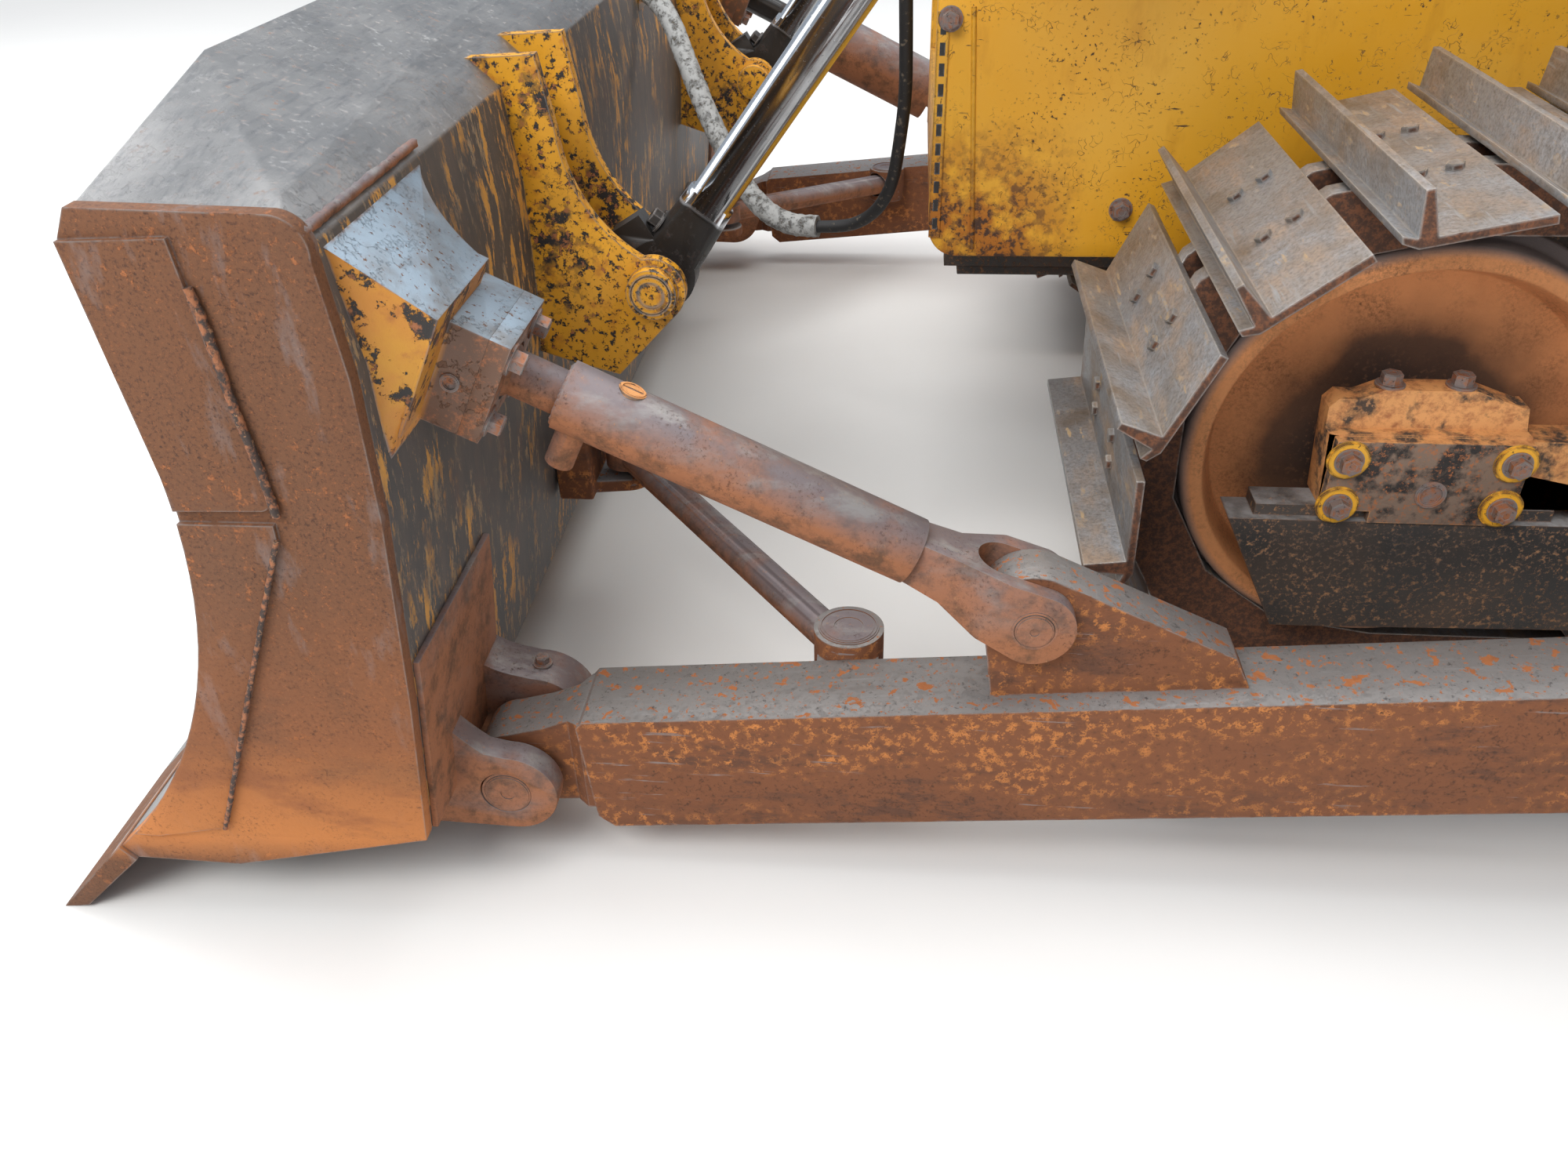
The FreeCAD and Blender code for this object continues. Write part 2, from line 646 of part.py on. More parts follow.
turbo = fuse([turned([(0, -60), (95, -60), (95, 20), (60, 60), (0, 60)], stack_x, 250, 1490),
              bar((stack_x, 215, 1400), (stack_x, 215, 1480), 50), bar((stack_x, 130, 1490), (stack_x, 250,
                                                                                              1490), 56)])
filters = [bar((-700 + 150 * k, -300, 980), (-700 + 150 * k, -300, 1240), 56) for k in range(2)]
filter_head = box(-770, -480, -350, -235, 1240, 1290)
keep("engine", fuse([block, head, sump, flywheel, fan_hub] + covers + blades + [manifold] + ports + [turbo]
                    + filters + [filter_head]))

# Exhaust stack and air precleaner through the hood
stack_pipe = bar((stack_x, 130, 1546.3), (stack_x, 130, 2640), 44)
muffler = bar((stack_x, 130, 1900), (stack_x, 130, 2320), 74)
tip = bar((stack_x, 130, 2620), (stack_x - 60, 130, 2740), 44)
keep("exhaust_stack", fuse([stack_pipe, muffler, tip]))
cleaner = fuse([bar((cleaner_x, -110, 1600), (cleaner_x, -110, 2010), 62),
                Part.makeCylinder(112, 14, V(cleaner_x, -110, nose_top - 3.7)),
                Part.makeCylinder(110, 34, V(cleaner_x, -110, 1990)),
                Part.makeCone(110, 128, 110, V(cleaner_x, -110, 2024)),
                Part.makeCylinder(128, 40, V(cleaner_x, -110, 2134)),
                Part.makeCone(128, 60, 46, V(cleaner_x, -110, 2174))])
keep("air_precleaner", cleaner)

# Fenders over the tracks, with steps and front brackets
fender_top = 1230.0
fender_in = 520.0
fender_out = 1290.0
fender_front = -1180.0
fender_rear = -axle_gap - 330
fender = prism([(fender_rear, fender_top - 10), (fender_rear, fender_top + 10), (fender_front - 60,
                                                                                 fender_top + 10),
                (fender_front, fender_top - 30), (fender_front, fender_top - 120), (fender_front - 14,
                                                                                    fender_top - 120),
                (fender_front - 14, fender_top - 34), (fender_front - 66, fender_top - 10)], "y",
               fender_in, fender_out)
keep("fenders", both(fuse([fender, box(fender_rear, fender_front - 20, fender_in - 8, fender_in + 8, 1000,
                                       fender_top)])))

# Floor plate and dash
keep("floor_plate", box(-2050, hood_back, -fender_in + 8.3, fender_in - 8.3, 1060, 1076))
dash = prism([(hood_back - 0.3, 1076.3), (hood_back - 0.3, nose_top - 10), (hood_back - 120, nose_top - 10),
              (hood_back - 260, nose_top - 150), (hood_back - 240, nose_top - 220), (hood_back - 120,
                                                                                     nose_top - 260),
              (hood_back - 90, 1076.3)], "y", -360, 360)
keep("dashboard", dash)

# Rear case: steering and transmission housing with the drawbar bracket
case_back = -axle_gap - 300
case = prism([(-1500, 720), (-axle_gap + 200, 650), (case_back, 600), (case_back, 1180), (case_back + 160,
                                                                                          1230),
              (-2050.3, 1230), (-2050.3, 1059.7), (-1340, 1059.7), (-1240, 1000), (-1240, 790)], "y",
             -rail_y + 30.3, rail_y - 30.3)
case_axle = disc(sprocket_x, sprocket_z, 230, -420 + 0.3, 420 - 0.3)
pad_face = case_back - rear_pad
pad = box(pad_face, case_back + 1, -rear_bolts_y / 2 - rear_bolt_margin,
          rear_bolts_y / 2 + rear_bolt_margin,
          rear_bolts_mid - rear_bolts_z / 2 - rear_bolt_margin,
          rear_bolts_mid + rear_bolts_z / 2 + rear_bolt_margin)
rear_case = fuse([case, case_axle, pad])
for sy in (-1, 1):
    for sz in (-1, 1):
        hole_at = V(pad_face - 1, sy * rear_bolts_y / 2, rear_bolts_mid + sz * rear_bolts_z / 2)
        rear_case = rear_case.cut(Part.makeCylinder(rear_bolt_r, 60, hole_at, V(1, 0, 0)))
keep("rear_case", rear_case)

drawbar_x = case_back - 190
drawbar_back = prism([(case_back - 40, 545), (case_back - 40, 720), (case_back - 0.3, 720),
                      (case_back - 0.3, 545)],
                     "y", -180, 180)
plates = []
for z0 in (560, 650):
    tongue = prism([(case_back - 35, -120), (drawbar_x, -70), (drawbar_x, 70, drawbar_x - 70, 0),
                    (case_back - 35, 120)], "z", z0, z0 + 40)
    plates.append(tongue)
drawbar = fuse([drawbar_back] + plates).cut(Part.makeCylinder(drawbar_pin_r, 300, V(drawbar_x, 0, 500)))
keep("drawbar", drawbar)

# Fuel tank behind the seat
tank_back = case_back + 30
tank = prism([(tank_back, 1230.3), (tank_back, 1640), (tank_back + 120, 1720), (tank_back + 480, 1720),
              (tank_back + 560, 1230.3)], "y", -500, 500)
keep("fuel_tank", tank)

# Seat
seat_x = -2045.0
keep("seat_base", fuse([box(seat_x, seat_x + 440, -220, 220, 1076.3, 1340),
                        box(seat_x - 60, seat_x + 30, -200, 200, 1330, 1720),
                        box(seat_x - 40, seat_x + 440, -260, 260, 1330, 1356)]))
keep("seat_cushion", box(seat_x + 40, seat_x + 480, -250, 250, 1356.3, 1470))
keep("seat_backrest", prism([(seat_x + 30.3, 1470.3), (seat_x + 150, 1470.3), (seat_x + 60, 1960),
                             (seat_x - 50, 1960),
                             (seat_x - 50, 1720.3), (seat_x + 30.3, 1720.3)], "y", -240, 240))
arms = []
for s in (-1, 1):
    arms.append(fuse([box(seat_x + 60, seat_x + 100, s * 300 - 20, s * 300 + 20, 1356.5, 1560),
                      box(seat_x + 40, seat_x + 420, s * 300 - 35, s * 300 + 35, 1560, 1610),
                      box(seat_x + 40, seat_x + 120, min(s * 260.3, s * 300), max(s * 260.3, s * 300),
                          1330, 1356)]))
keep("armrests", arms)

# Control levers and pedals
levers = [lever((hood_back - 190.3, y, nose_top - 79.7), (-1, 0, 1), 150) for y in (-90, 90)]
levers.append(lever((seat_x + 330, -300, 1610.3), (0, 0, 1), 120))
pedals = [prism([(hood_back - 250, 1076.3), (hood_back - 200, 1076.3), (hood_back - 130, 1190),
                 (hood_back - 150, 1196)],
                "y", y - 50, y + 50) for y in (-150, 150)]
keep("control_levers", levers)
keep("pedals", pedals)

# Side tanks on the fenders
keep("hydraulic_tank", prism([(-2520, fender_top + 10.3), (-2520, 1640), (-2480, 1690), (-1980, 1690),
                              (-1940, 1650),
                              (-1940, fender_top + 10.3)], "y", -1000, -560))
keep("tool_box", prism([(-2520, fender_top + 10.3), (-2520, 1560), (-2480, 1600), (-1980, 1600), (-1940,
                                                                                                  1560),
                        (-1940, fender_top + 10.3)], "y", 560, 1000))

# Rollover frame and canopy roof
roof_z = 3020.0
post_table = [(-1330, 640), (-2760, 640)]
posts = []
for x, y in post_table:
    post = box(x - 60, x + 60, y - 50, y + 50, fender_top + 10.3, roof_z)
    foot = box(x - 110, x + 110, y - 90, y + 90, fender_top + 10.3, fender_top + 34)
    posts += [post, mirrored(post), foot, mirrored(foot)]
cross = [box(x - 60, x + 60, -690, 690, roof_z - 120, roof_z) for x, y in post_table]
side_beams = [box(-2760, -1330, s * 640 - 50, s * 640 + 50, roof_z - 120, roof_z) for s in (-1, 1)]
keep("rops_frame", fuse(posts + cross + side_beams))
roof = prism([(-2900, roof_z + 0.3), (-2900, roof_z + 50), (-2840, roof_z + 90), (-1250, roof_z + 90),
              (-1190, roof_z + 50), (-1190, roof_z + 0.3)], "y", -800, 800)
keep("canopy_roof", roof)

# Lamps
lamps = []
for y in (-600, 600):
    lamp = fuse([Part.makeCylinder(70, 70, V(-1190.3, y, roof_z - 80), V(1, 0, 0)),
                 box(-1269.7, -1180, y - 20, y + 20, roof_z - 90, roof_z - 70)])
    lamps.append(lamp)
keep("work_lamps", lamps)

# Lift cylinder yokes on the nose
yoke_beam = box(lift_trunnion_x - 150, lift_trunnion_x - 70, nose_half + 0.3, lift_y + lift_barrel_r + 62,
                lift_trunnion_z - 150, lift_trunnion_z - 70)
ears = []
for side in (-1, 1):
    y0 = lift_y + side * (lift_barrel_r + 40)
    ear = prism([(lift_trunnion_x - 150, lift_trunnion_z - 150), (lift_trunnion_x - 10,
                                                                  lift_trunnion_z - 120),
                 (lift_trunnion_x + 75, lift_trunnion_z),
                 (lift_trunnion_x - 75, lift_trunnion_z + 10, lift_trunnion_x, lift_trunnion_z + 75)],
                "y", y0 - 22, y0 + 22).cut(disc(lift_trunnion_x, lift_trunnion_z, 38.3, 0, 2000))
    ears.append(ear)
nose_pad = box(lift_trunnion_x - 190, lift_trunnion_x + 120, nose_half + 0.3, nose_half + 40,
               lift_trunnion_z - 190,
               min(nose_top - 20, lift_trunnion_z + 120))
keep("lift_yokes", both(fuse([yoke_beam, nose_pad] + ears)))

# Lift cylinder barrels and rods, drawn along +X and then set on their line
lift_dx = lift_pin_x - lift_trunnion_x
lift_dz = lift_pin_z - lift_trunnion_z
lift_len = math.hypot(lift_dx, lift_dz)
lift_angle = math.degrees(math.atan2(lift_dz, lift_dx))


def on_lift_line(shape):
    shape = shape.copy()
    shape.rotate(V(0, 0, 0), V(0, 1, 0), -lift_angle)
    shape.translate(V(lift_trunnion_x, lift_y, lift_trunnion_z))
    return shape


barrel = Part.makeCylinder(lift_barrel_r, lift_barrel_back + lift_barrel_front, V(-lift_barrel_back, 0, 0),
                           V(1, 0, 0))
barrel_head = Part.makeCylinder(lift_barrel_r + 14, 60, V(lift_barrel_front - 60, 0, 0), V(1, 0, 0))
band = Part.makeCylinder(lift_barrel_r + 10, 100, V(-50, 0, 0), V(1, 0, 0))
pins = Part.makeCylinder(38, 2 * lift_barrel_r + 120, V(0, -lift_barrel_r - 60, 0), V(0, 1, 0))
end_cap = Part.makeCylinder(lift_barrel_r + 8, 30, V(-lift_barrel_back, 0, 0), V(1, 0, 0))
lift_barrel = fuse([barrel, barrel_head, band, pins, end_cap])
bore = Part.makeCylinder(lift_rod_r + 0.3, 2000, V(-lift_barrel_back + 30, 0, 0), V(1, 0, 0))
lift_barrel = on_lift_line(lift_barrel.cut(bore))
rod = Part.makeCylinder(lift_rod_r, lift_len + 160, V(-160, 0, 0), V(1, 0, 0))
eye = Part.makeCylinder(lift_eye_r, lift_eye_width, V(lift_len, -lift_eye_width / 2, 0), V(0, 1, 0))
neck = Part.makeCone(lift_rod_r + 6, lift_rod_r + 14, 120, V(lift_len - 170, 0, 0), V(1, 0, 0))
neck = neck.common(box(-100, 2000, -lift_eye_width / 2, lift_eye_width / 2, -200, 200))
strap = box(lift_len - 30, lift_len + 34, -24, 24, 40, 112)
strap.rotate(V(lift_len, 0, 0), V(0, 1, 0), -22)
rod_shape = fuse([rod.cut(box(lift_len - 140, lift_len + 80, -100, 100, -100, 100)), neck, eye, strap])
rod_shape = on_lift_line(rod_shape.cut(Part.makeCylinder(30, 100, V(lift_len, -50, 0), V(0, 1, 0))))
for side, flip in (("left", False), ("right", True)):
    keep("lift_barrel_" + side, mirrored(lift_barrel) if flip else lift_barrel)
    keep("lift_rod_" + side, mirrored(rod_shape) if flip else rod_shape)

# Blade: curved front skin closed behind by a box, cut down at both ends
front_low = (2123.0, 154.0)
blade_outer = [
    (1597, 201), (1567, 478), (1542, 797), (1538, 998), (1554, 1160), (1600, 1203), (1848, blade_top),
    (1851, 1172), (1823, 860), front_low + (1893, 480), (2154, 67 + 60), (1930, 122 + 60),
]
skin = blade_skin
blade_inner = [
    (1597 + skin, 201 + 55), (1567 + skin, 478), (1542 + skin, 797), (1538 + skin, 998), (1554 + skin,
                                                                                          1150),
    (1606 + skin, 1180), (1824, 1260), (1827, 1172), (1799, 860), (2060, 190, 1869, 490), (1930, 212),
]
inside = blade_half - end_plate


def end_slopes(drop):
    """Wedges above the slopes that lower the blade's top towards its ends."""
    wedges = []
    for side in (-1, 1):
        bend = side * (blade_half - blade_corner_width)
        end = side * (blade_half + 1)
        wedges.append(prism([(bend, blade_top - drop), (end, blade_corner_top - end_lip - drop),
                             (end, blade_top + 100), (bend, blade_top + 100)], "x", 1400, 2000))
    return wedges


blade_seat = prism(blade_outer, "y", -inside, inside)
blade_solid = blade_seat.cut(end_slopes(0))
blade_void = prism(blade_inner, "y", -inside - 1, inside + 1).cut(end_slopes(blade_top - 1260))
keep("blade_body", blade_solid.cut(blade_void))

# End plates close the box, stand proud of its top and carry wear plates
plate_outline = [(1597, 201), (1567, 478), (1542, 797), (1538, 998), (1550, 1148),
                 (1594, 1202, 1561, 1188), (1831, 1209), (1851, 1172), (1823, 860), (2123, 154, 1893, 480),
                 (2154, 127), (1930, 122)]
end_wall = prism(plate_outline, "y", inside, blade_half - wear_plate)
wear_blank = prism(plate_outline, "y", blade_half - wear_plate, blade_half)
upper_wear = prism([(1714, 1176), (1686, 840), (1698, 812, 1686, 820), (1900, 806), (1900, 1170)], "y",
                   blade_half - wear_plate, blade_half)
lower_wear = prism([(1900, 788), (1689, 790), (1690, 768), (1860, 368), (1925, 213), (2046, 187), (2140,
                                                                                                   190)],
                   "y", blade_half - wear_plate, blade_half)
wears = Part.makeCompound([upper_wear.common(wear_blank), lower_wear.common(wear_blank)])
keep("blade_end_plates", both(end_wall.fuse(wears)))

# Cutting edge and end bits
edge = prism([(2123 + 4, 154), (2278, 0), (2232, 6), (2105, 126)], "y", -blade_half + end_bit_width + 0.3,
             blade_half - end_bit_width - 0.3)
end_bit = prism([(2123 + 4, 154), (2278, 0), (2232, 6), (2105, 126)], "y", blade_half - end_bit_width,
                blade_half)
keep("cutting_edge", edge.cut(blade_seat))
keep("end_bits", both(end_bit.cut(blade_seat).cut(end_wall)))

# Lift brackets on the blade's back
lift_plate = [(1612, 1206), (1490, 1211), (1470, 1090), (lift_pin_x + 15, lift_pin_z + bracket_eye_r - 2,
                                                         1424, 946),
              (lift_pin_x - 42, lift_pin_z - 43, lift_pin_x - bracket_eye_r, lift_pin_z), (1402, 641),
              (1486, 664), (1560, 690), (1620, 690)]
plates = []
for side in (-1, 1):
    y0 = lift_y + side * (bracket_gap / 2 + bracket_plate / 2)
    plate = prism(lift_plate, "y", y0 - bracket_plate / 2, y0 + bracket_plate / 2).cut(blade_seat)
    pin_head = disc(lift_pin_x, lift_pin_z, 46,
                    y0 - (bracket_plate / 2 if side > 0 else bracket_plate / 2 + 22),
                    y0 + (bracket_plate / 2 + 22 if side > 0 else bracket_plate / 2))
    plates.append(fuse([plate, pin_head]))
hose_end, hose_way = V(*upper_route[-1]), V(*upper_route[-1]) - V(*upper_route[-2])
hose_way.normalize()
hose_block = fuse([box(1546, 1580, hose_end.y - 75, hose_end.y + 20, hose_end.z - 40, hose_end.z + 70),
                   Part.makeCylinder(sleeved_hose_r + 3, 60, hose_end, hose_way)]).cut(blade_seat)
keep("lift_brackets", both(Part.makeCompound(plates)) + [hose_block])

# Lower lugs on a doubler plate: a thin one outside and a deep one inside the arm's eye, with the pin


def lug_outline(r):
    return [(1650, 400), (1622, 392), (1530, arm_pin_z + r + 8, 1576, 322), (arm_pin_x - 6, arm_pin_z + r),
            (arm_pin_x - 6, arm_pin_z - near_lug_r, arm_pin_x - 6 - (r + near_lug_r) / 2,
             arm_pin_z + (r - near_lug_r) / 2),
            (1640, 116), (1700, 170)]


near_y = arm_y + arm_eye_width / 2 + lug_gap
far_y = arm_y - arm_eye_width / 2 - lug_gap
outer_lug = prism(lug_outline(near_lug_r), "y", near_y, near_y + near_lug)
inner_lug = prism(lug_outline(far_lug_r), "y", far_y - far_lug, far_y)
crescent = disc(arm_pin_x + 4, arm_pin_z, arm_pin_r + 5, near_y + near_lug - 14, near_y + near_lug + 1)
lug_pin = disc(arm_pin_x, arm_pin_z, arm_pin_r, far_y - far_lug - 6, near_y + near_lug - 2)
back_plate = prism([(1570, 540), (1562 - doubler, 540), (1567 - doubler, 478), (1597 - doubler, 203),
                    (1604, 203)], "y",
                   inside - 355, inside - 2)
keep("blade_lugs", both(fuse([outer_lug.cut(crescent), inner_lug, lug_pin, back_plate]).cut(blade_seat)))

# Centre brackets for the diagonal braces
diag_x = 1440.0
diag_y = 790.0
diag_z = 400.0
centre_bracket = fuse([box(1500, 1572, diag_y - 110, diag_y + 90, diag_z - 70, diag_z + 70),
                       prism([(1560, diag_y - 90), (diag_x - 10, diag_y - 50),
                              (diag_x - 10, diag_y + 50, diag_x - 50, diag_y), (1560, diag_y + 70)], "z",
                             diag_z - 70, diag_z - 42),
                       prism([(1560, diag_y - 90), (diag_x - 10, diag_y - 50),
                              (diag_x - 10, diag_y + 50, diag_x - 50, diag_y), (1560, diag_y + 70)], "z",
                             diag_z + 42, diag_z + 70)])
keep("centre_brackets", both(centre_bracket.cut(blade_seat)))

# Push arms
arm_start = (-trunnion_back, trunnion_z)
arm_end = (arm_pin_x, arm_pin_z)
arm_length = math.hypot(arm_end[0] - arm_start[0], arm_end[1] - arm_start[1])
half_h = arm_height / 2
diag_a = (diag_ball_x, arm_inner_y - diag_seat_out, diag_ball_z)
diag_b = (diag_x, diag_y, diag_z)
diag_way = V(*diag_b) - V(*diag_a)


def push_arm(eye_clearance):
    """Box beam with a forged nose, the brace's gusset and the diagonal brace's ball seat."""
    stop = arm_length - arm_stop
    beam = along_arm([(0, -half_h), (stop - 25, -half_h), (stop, -half_h + 25), (stop, half_h - 12),
                      (stop - 12, half_h),
                      (0, half_h)], arm_inner_y, arm_outer_y, arm_start, arm_end)
    hollow = along_arm([(120, -half_h + arm_plate), (stop - 60, -half_h + arm_plate), (stop - 60,
                                                                                       half_h - arm_plate),
                        (120, half_h - arm_plate)], arm_inner_y + arm_plate, arm_outer_y - arm_plate,
                       arm_start, arm_end)
    nose_side = along_arm([(stop - 50, -arm_eye_r), (arm_length, -arm_eye_r),
                           (arm_length, arm_eye_r, arm_length + arm_eye_r, 0), (arm_length - 60,
                                                                                arm_eye_r + 12),
                           (stop, half_h - 8), (stop - 50, half_h - 8)], arm_inner_y, arm_outer_y,
                          arm_start, arm_end)
    eye, neck = arm_eye_width / 2, arm_width / 2 - 4
    nose_plan = prism([(arm_pin_x - 220, arm_y - neck), (arm_pin_x - 122, arm_y - neck), (arm_pin_x - 100,
                                                                                          arm_y - eye),
                       (arm_pin_x + 120, arm_y - eye), (arm_pin_x + 120, arm_y + eye), (arm_pin_x - 100,
                                                                                        arm_y + eye),
                       (arm_pin_x - 122, arm_y + neck), (arm_pin_x - 220, arm_y + neck)], "z", 0, 600)
    trunnion_cap = disc(arm_start[0], arm_start[1], 128, arm_inner_y, arm_outer_y)
    gusset = prism([(320, 385), (322, 412), (350, 466), (brace_fork_x - 26, brace_fork_z + 70),
                    (brace_fork_x + 72, brace_fork_z - 22, brace_fork_x + 52, brace_fork_z + 54),
                    (brace_fork_x + 50, 352)], "y", brace_y - gusset_width / 2, brace_y + gusset_width / 2)
    seat = fuse([Part.makeCylinder(diag_seat_r, 104, V(diag_a[0], diag_a[1], diag_a[2] - 50)),
                 box(diag_a[0] - 52, diag_a[0] + 52, diag_a[1], arm_inner_y + 2, diag_a[2] - 40,
                     diag_a[2] + 16)])
    socket = fuse([Part.makeSphere(diag_ball_r + 0.3, V(*diag_a), diag_way),
                   Part.makeCylinder(diag_tube_r + 8, 140, V(*diag_a), diag_way)])
    arm = fuse([beam, nose_side.common(nose_plan), trunnion_cap, gusset, seat]).cut(hollow).cut(socket)
    arm = arm.cut(disc(arm_pin_x, arm_pin_z, arm_pin_r + eye_clearance, 0, far_out))
    arm = arm.cut(disc(brace_fork_x, brace_fork_z, brace_pin_r + 0.3, 0, far_out))
    arm = arm.cut(Part.makeSphere(trunnion_ball_r + 0.3, V(arm_start[0], arm_y, arm_start[1])))
    return arm.cut(disc(arm_start[0], arm_start[1], trunnion_ball_r, arm_inner_y - 100, arm_y))


keep("push_arm_left", push_arm(0.3))
keep("push_arm_right", mirrored(push_arm(14.0)))
ball = Part.makeSphere(trunnion_ball_r, V(arm_start[0], arm_y, arm_start[1]))
ball_bore = disc(arm_start[0], arm_start[1], trunnion_r + 0.08, arm_inner_y - 100, arm_y + 20.3)
keep("trunnion_balls", both(ball.cut(ball_bore)))

# Left brace: ball cap, screw, sleeve and fork
brace_len = math.hypot(brace_ball_x - brace_fork_x, brace_ball_z - brace_fork_z)


def on_brace_line(shape):
    shape = shape.copy()
    angle = math.degrees(math.atan2(brace_ball_z - brace_fork_z, brace_ball_x - brace_fork_x))
    shape.rotate(V(0, 0, 0), V(0, 1, 0), -angle)
    shape.translate(V(brace_fork_x, brace_y, brace_fork_z))
    return shape


def fork(width, gap, r):
    """Forged clevis with its pin at the origin, opening backward."""
    half, root, end = gap / 2 + width, 142, sleeve_start + 20
    side = prism([(0, -r, -r, 0), (76, -r * 0.86), (root, -screw_r - 6), (end, -screw_r), (end, screw_r),
                  (root, screw_r + 6), (76, r * 0.86), (0, r)], "y", -half, half)
    plan = prism([(-r - 5, -half), (70, -half), (root, -screw_r - 8), (end, -screw_r), (end, screw_r),
                  (root, screw_r + 8), (70, half), (-r - 5, half)], "z", -r - 5, r + 5)
    slot = fuse([box(-r - 6, 76, -gap / 2, gap / 2, -r - 6, r + 6),
                 Part.makeCylinder(gap / 2, 2 * r + 12, V(76, 0, -r - 6))])
    pin = Part.makeCylinder(brace_pin_r, 2 * half - 4, V(0, -half + 2, 0), V(0, 1, 0))
    return fuse([side.common(plan).cut(slot), pin])


fork_gap = gusset_width + 4
brace_fork = fork(fork_cheek, fork_gap, fork_r).cut(box(sleeve_start - 0.3, 400, -200, 200, -200, 200))
keep("brace_fork", on_brace_line(fuse([brace_fork, Part.makeCylinder(screw_r, 95, V(190, 0, 0), V(1, 0,
                                                                                                  0))])))
sleeve = Part.makeCylinder(sleeve_r, sleeve_end - sleeve_start, V(sleeve_start, 0, 0), V(1, 0, 0))
stub = Part.makeCylinder(22, 62, V(sleeve_end - 30, 0, -sleeve_r + 6), V(0, 0, -1))
sleeve_bore = Part.makeCylinder(screw_r + 0.3, sleeve_end, V(sleeve_start - 1, 0, 0), V(1, 0, 0))
keep("brace_sleeve", on_brace_line(fuse([sleeve, stub]).cut(sleeve_bore)))
screw = fuse([Part.makeCylinder(screw_r, brace_len - sleeve_end + 120, V(sleeve_end - 120, 0, 0), V(1, 0,
                                                                                                    0)),
              Part.makeSphere(brace_ball_r, V(brace_len, 0, 0))])
keep("brace_screw", on_brace_line(screw))

# Tilt cylinder on the right brace
tilt_barrel = fuse([fork(fork_cheek, fork_gap, fork_r), Part.makeCylinder(92, 470, V(160, 0, 0), V(1, 0,
                                                                                                   0)),
                    Part.makeCylinder(102, 40, V(590, 0, 0), V(1, 0, 0))])
tilt_barrel = tilt_barrel.cut(Part.makeCylinder(tilt_rod_r + 0.3, 1000, V(230, 0, 0), V(1, 0, 0)))
keep("tilt_barrel", mirrored(on_brace_line(tilt_barrel)))
tilt_rod = fuse([Part.makeCylinder(tilt_rod_r, brace_len - 330, V(330, 0, 0), V(1, 0, 0)),
                 Part.makeSphere(brace_ball_r, V(brace_len, 0, 0))])
keep("tilt_rod", mirrored(on_brace_line(tilt_rod)))

# Brace boxes high on the blade's back: a hollow bracket, a flange, and a parted ball socket
front_z = (-55, 118)
front_y = (-53, 167)


def brace_section(inset, drop):
    """Front of the bracket, on the socket's back face."""
    u = brace_len + socket_depth + 5
    low, high = front_z[0] - drop, front_z[1] - inset
    corners = [(u, front_y[0] + inset, low), (u, front_y[1] - inset, low), (u, front_y[1] - inset, high),
               (u, front_y[0] + inset, high), (u, front_y[0] + inset, low)]
    return on_brace_line(Part.makePolygon([V(*corner) for corner in corners]))


def back_section(inset, drop):
    """Foot of the bracket, inside the blade's back."""
    y0, y1 = inside - 396 + inset, inside - 3 - inset
    z0, z1 = 706 - drop, 1195 - inset
    corners = [(1600, y0, z0), (1600, y1, z0), (1600, y1, z1), (1600, y0, z1), (1600, y0, z0)]
    return Part.makePolygon([V(*corner) for corner in corners])


def scallop(extra):
    """Round cut that hollows the bracket's inner side between flange and blade."""
    a, b = V(1450, brace_y - 46, 1046), V(1552, inside - 356, 1148)
    depth, upright = 26.0, V(-0.7, 0, 0.714)
    outward = (b - a).cross(upright)
    outward.normalize()
    radius = ((b - a).Length ** 2 / 4 + depth ** 2) / (2 * depth)
    centre = (a + b) * 0.5 + outward * (radius - depth)
    return Part.makeCylinder(radius + extra, 1400, centre - upright * 700, upright)


def brace_box(ball_gap):
    """Bracket with its socket block, and the socket's cap as a second solid."""
    shell = Part.makeLoft([brace_section(0, 0), back_section(0, 0)], True, True).cut(scallop(0))
    void = Part.makeLoft([brace_section(box_wall, 60), back_section(box_wall, 60)], True,
                         True).cut(scallop(box_wall))
    flange = box(brace_len + socket_depth, brace_len + socket_depth + 22, front_y[0], front_y[1],
                 front_z[0] - 12, front_z[1])
    block = box(brace_len, brace_len + socket_depth + 4, -socket_half, socket_half, -socket_high,
                socket_high)
    cap = box(brace_len - cap_depth, brace_len - 0.3, -socket_half, socket_half, -socket_high, socket_high)
    hollow = Part.makeSphere(brace_ball_r + ball_gap, V(brace_len, 0, 0))
    neck = Part.makeCylinder(cap_hole_r, 200, V(brace_len - 150, 0, 0), V(1, 0, 0))
    body = fuse([shell.cut(void), on_brace_line(flange), on_brace_line(block)]).cut(blade_seat)
    return [body.cut(on_brace_line(hollow)), on_brace_line(cap.cut(hollow).cut(neck))]


keep("brace_boxes", brace_box(0.3) + [mirrored(solid) for solid in brace_box(open_ball_gap)])

# Diagonal braces from the arms' balls to the blade's centre brackets
diag_eye = Part.makeCylinder(46, 50, V(diag_x, diag_y, diag_z - 25))
diag = fuse([bar(diag_a, diag_b, diag_tube_r), Part.makeSphere(diag_ball_r, V(*diag_a), diag_way),
             diag_eye])
keep("diagonal_brace_left", diag)
keep("diagonal_brace_right", mirrored(diag))

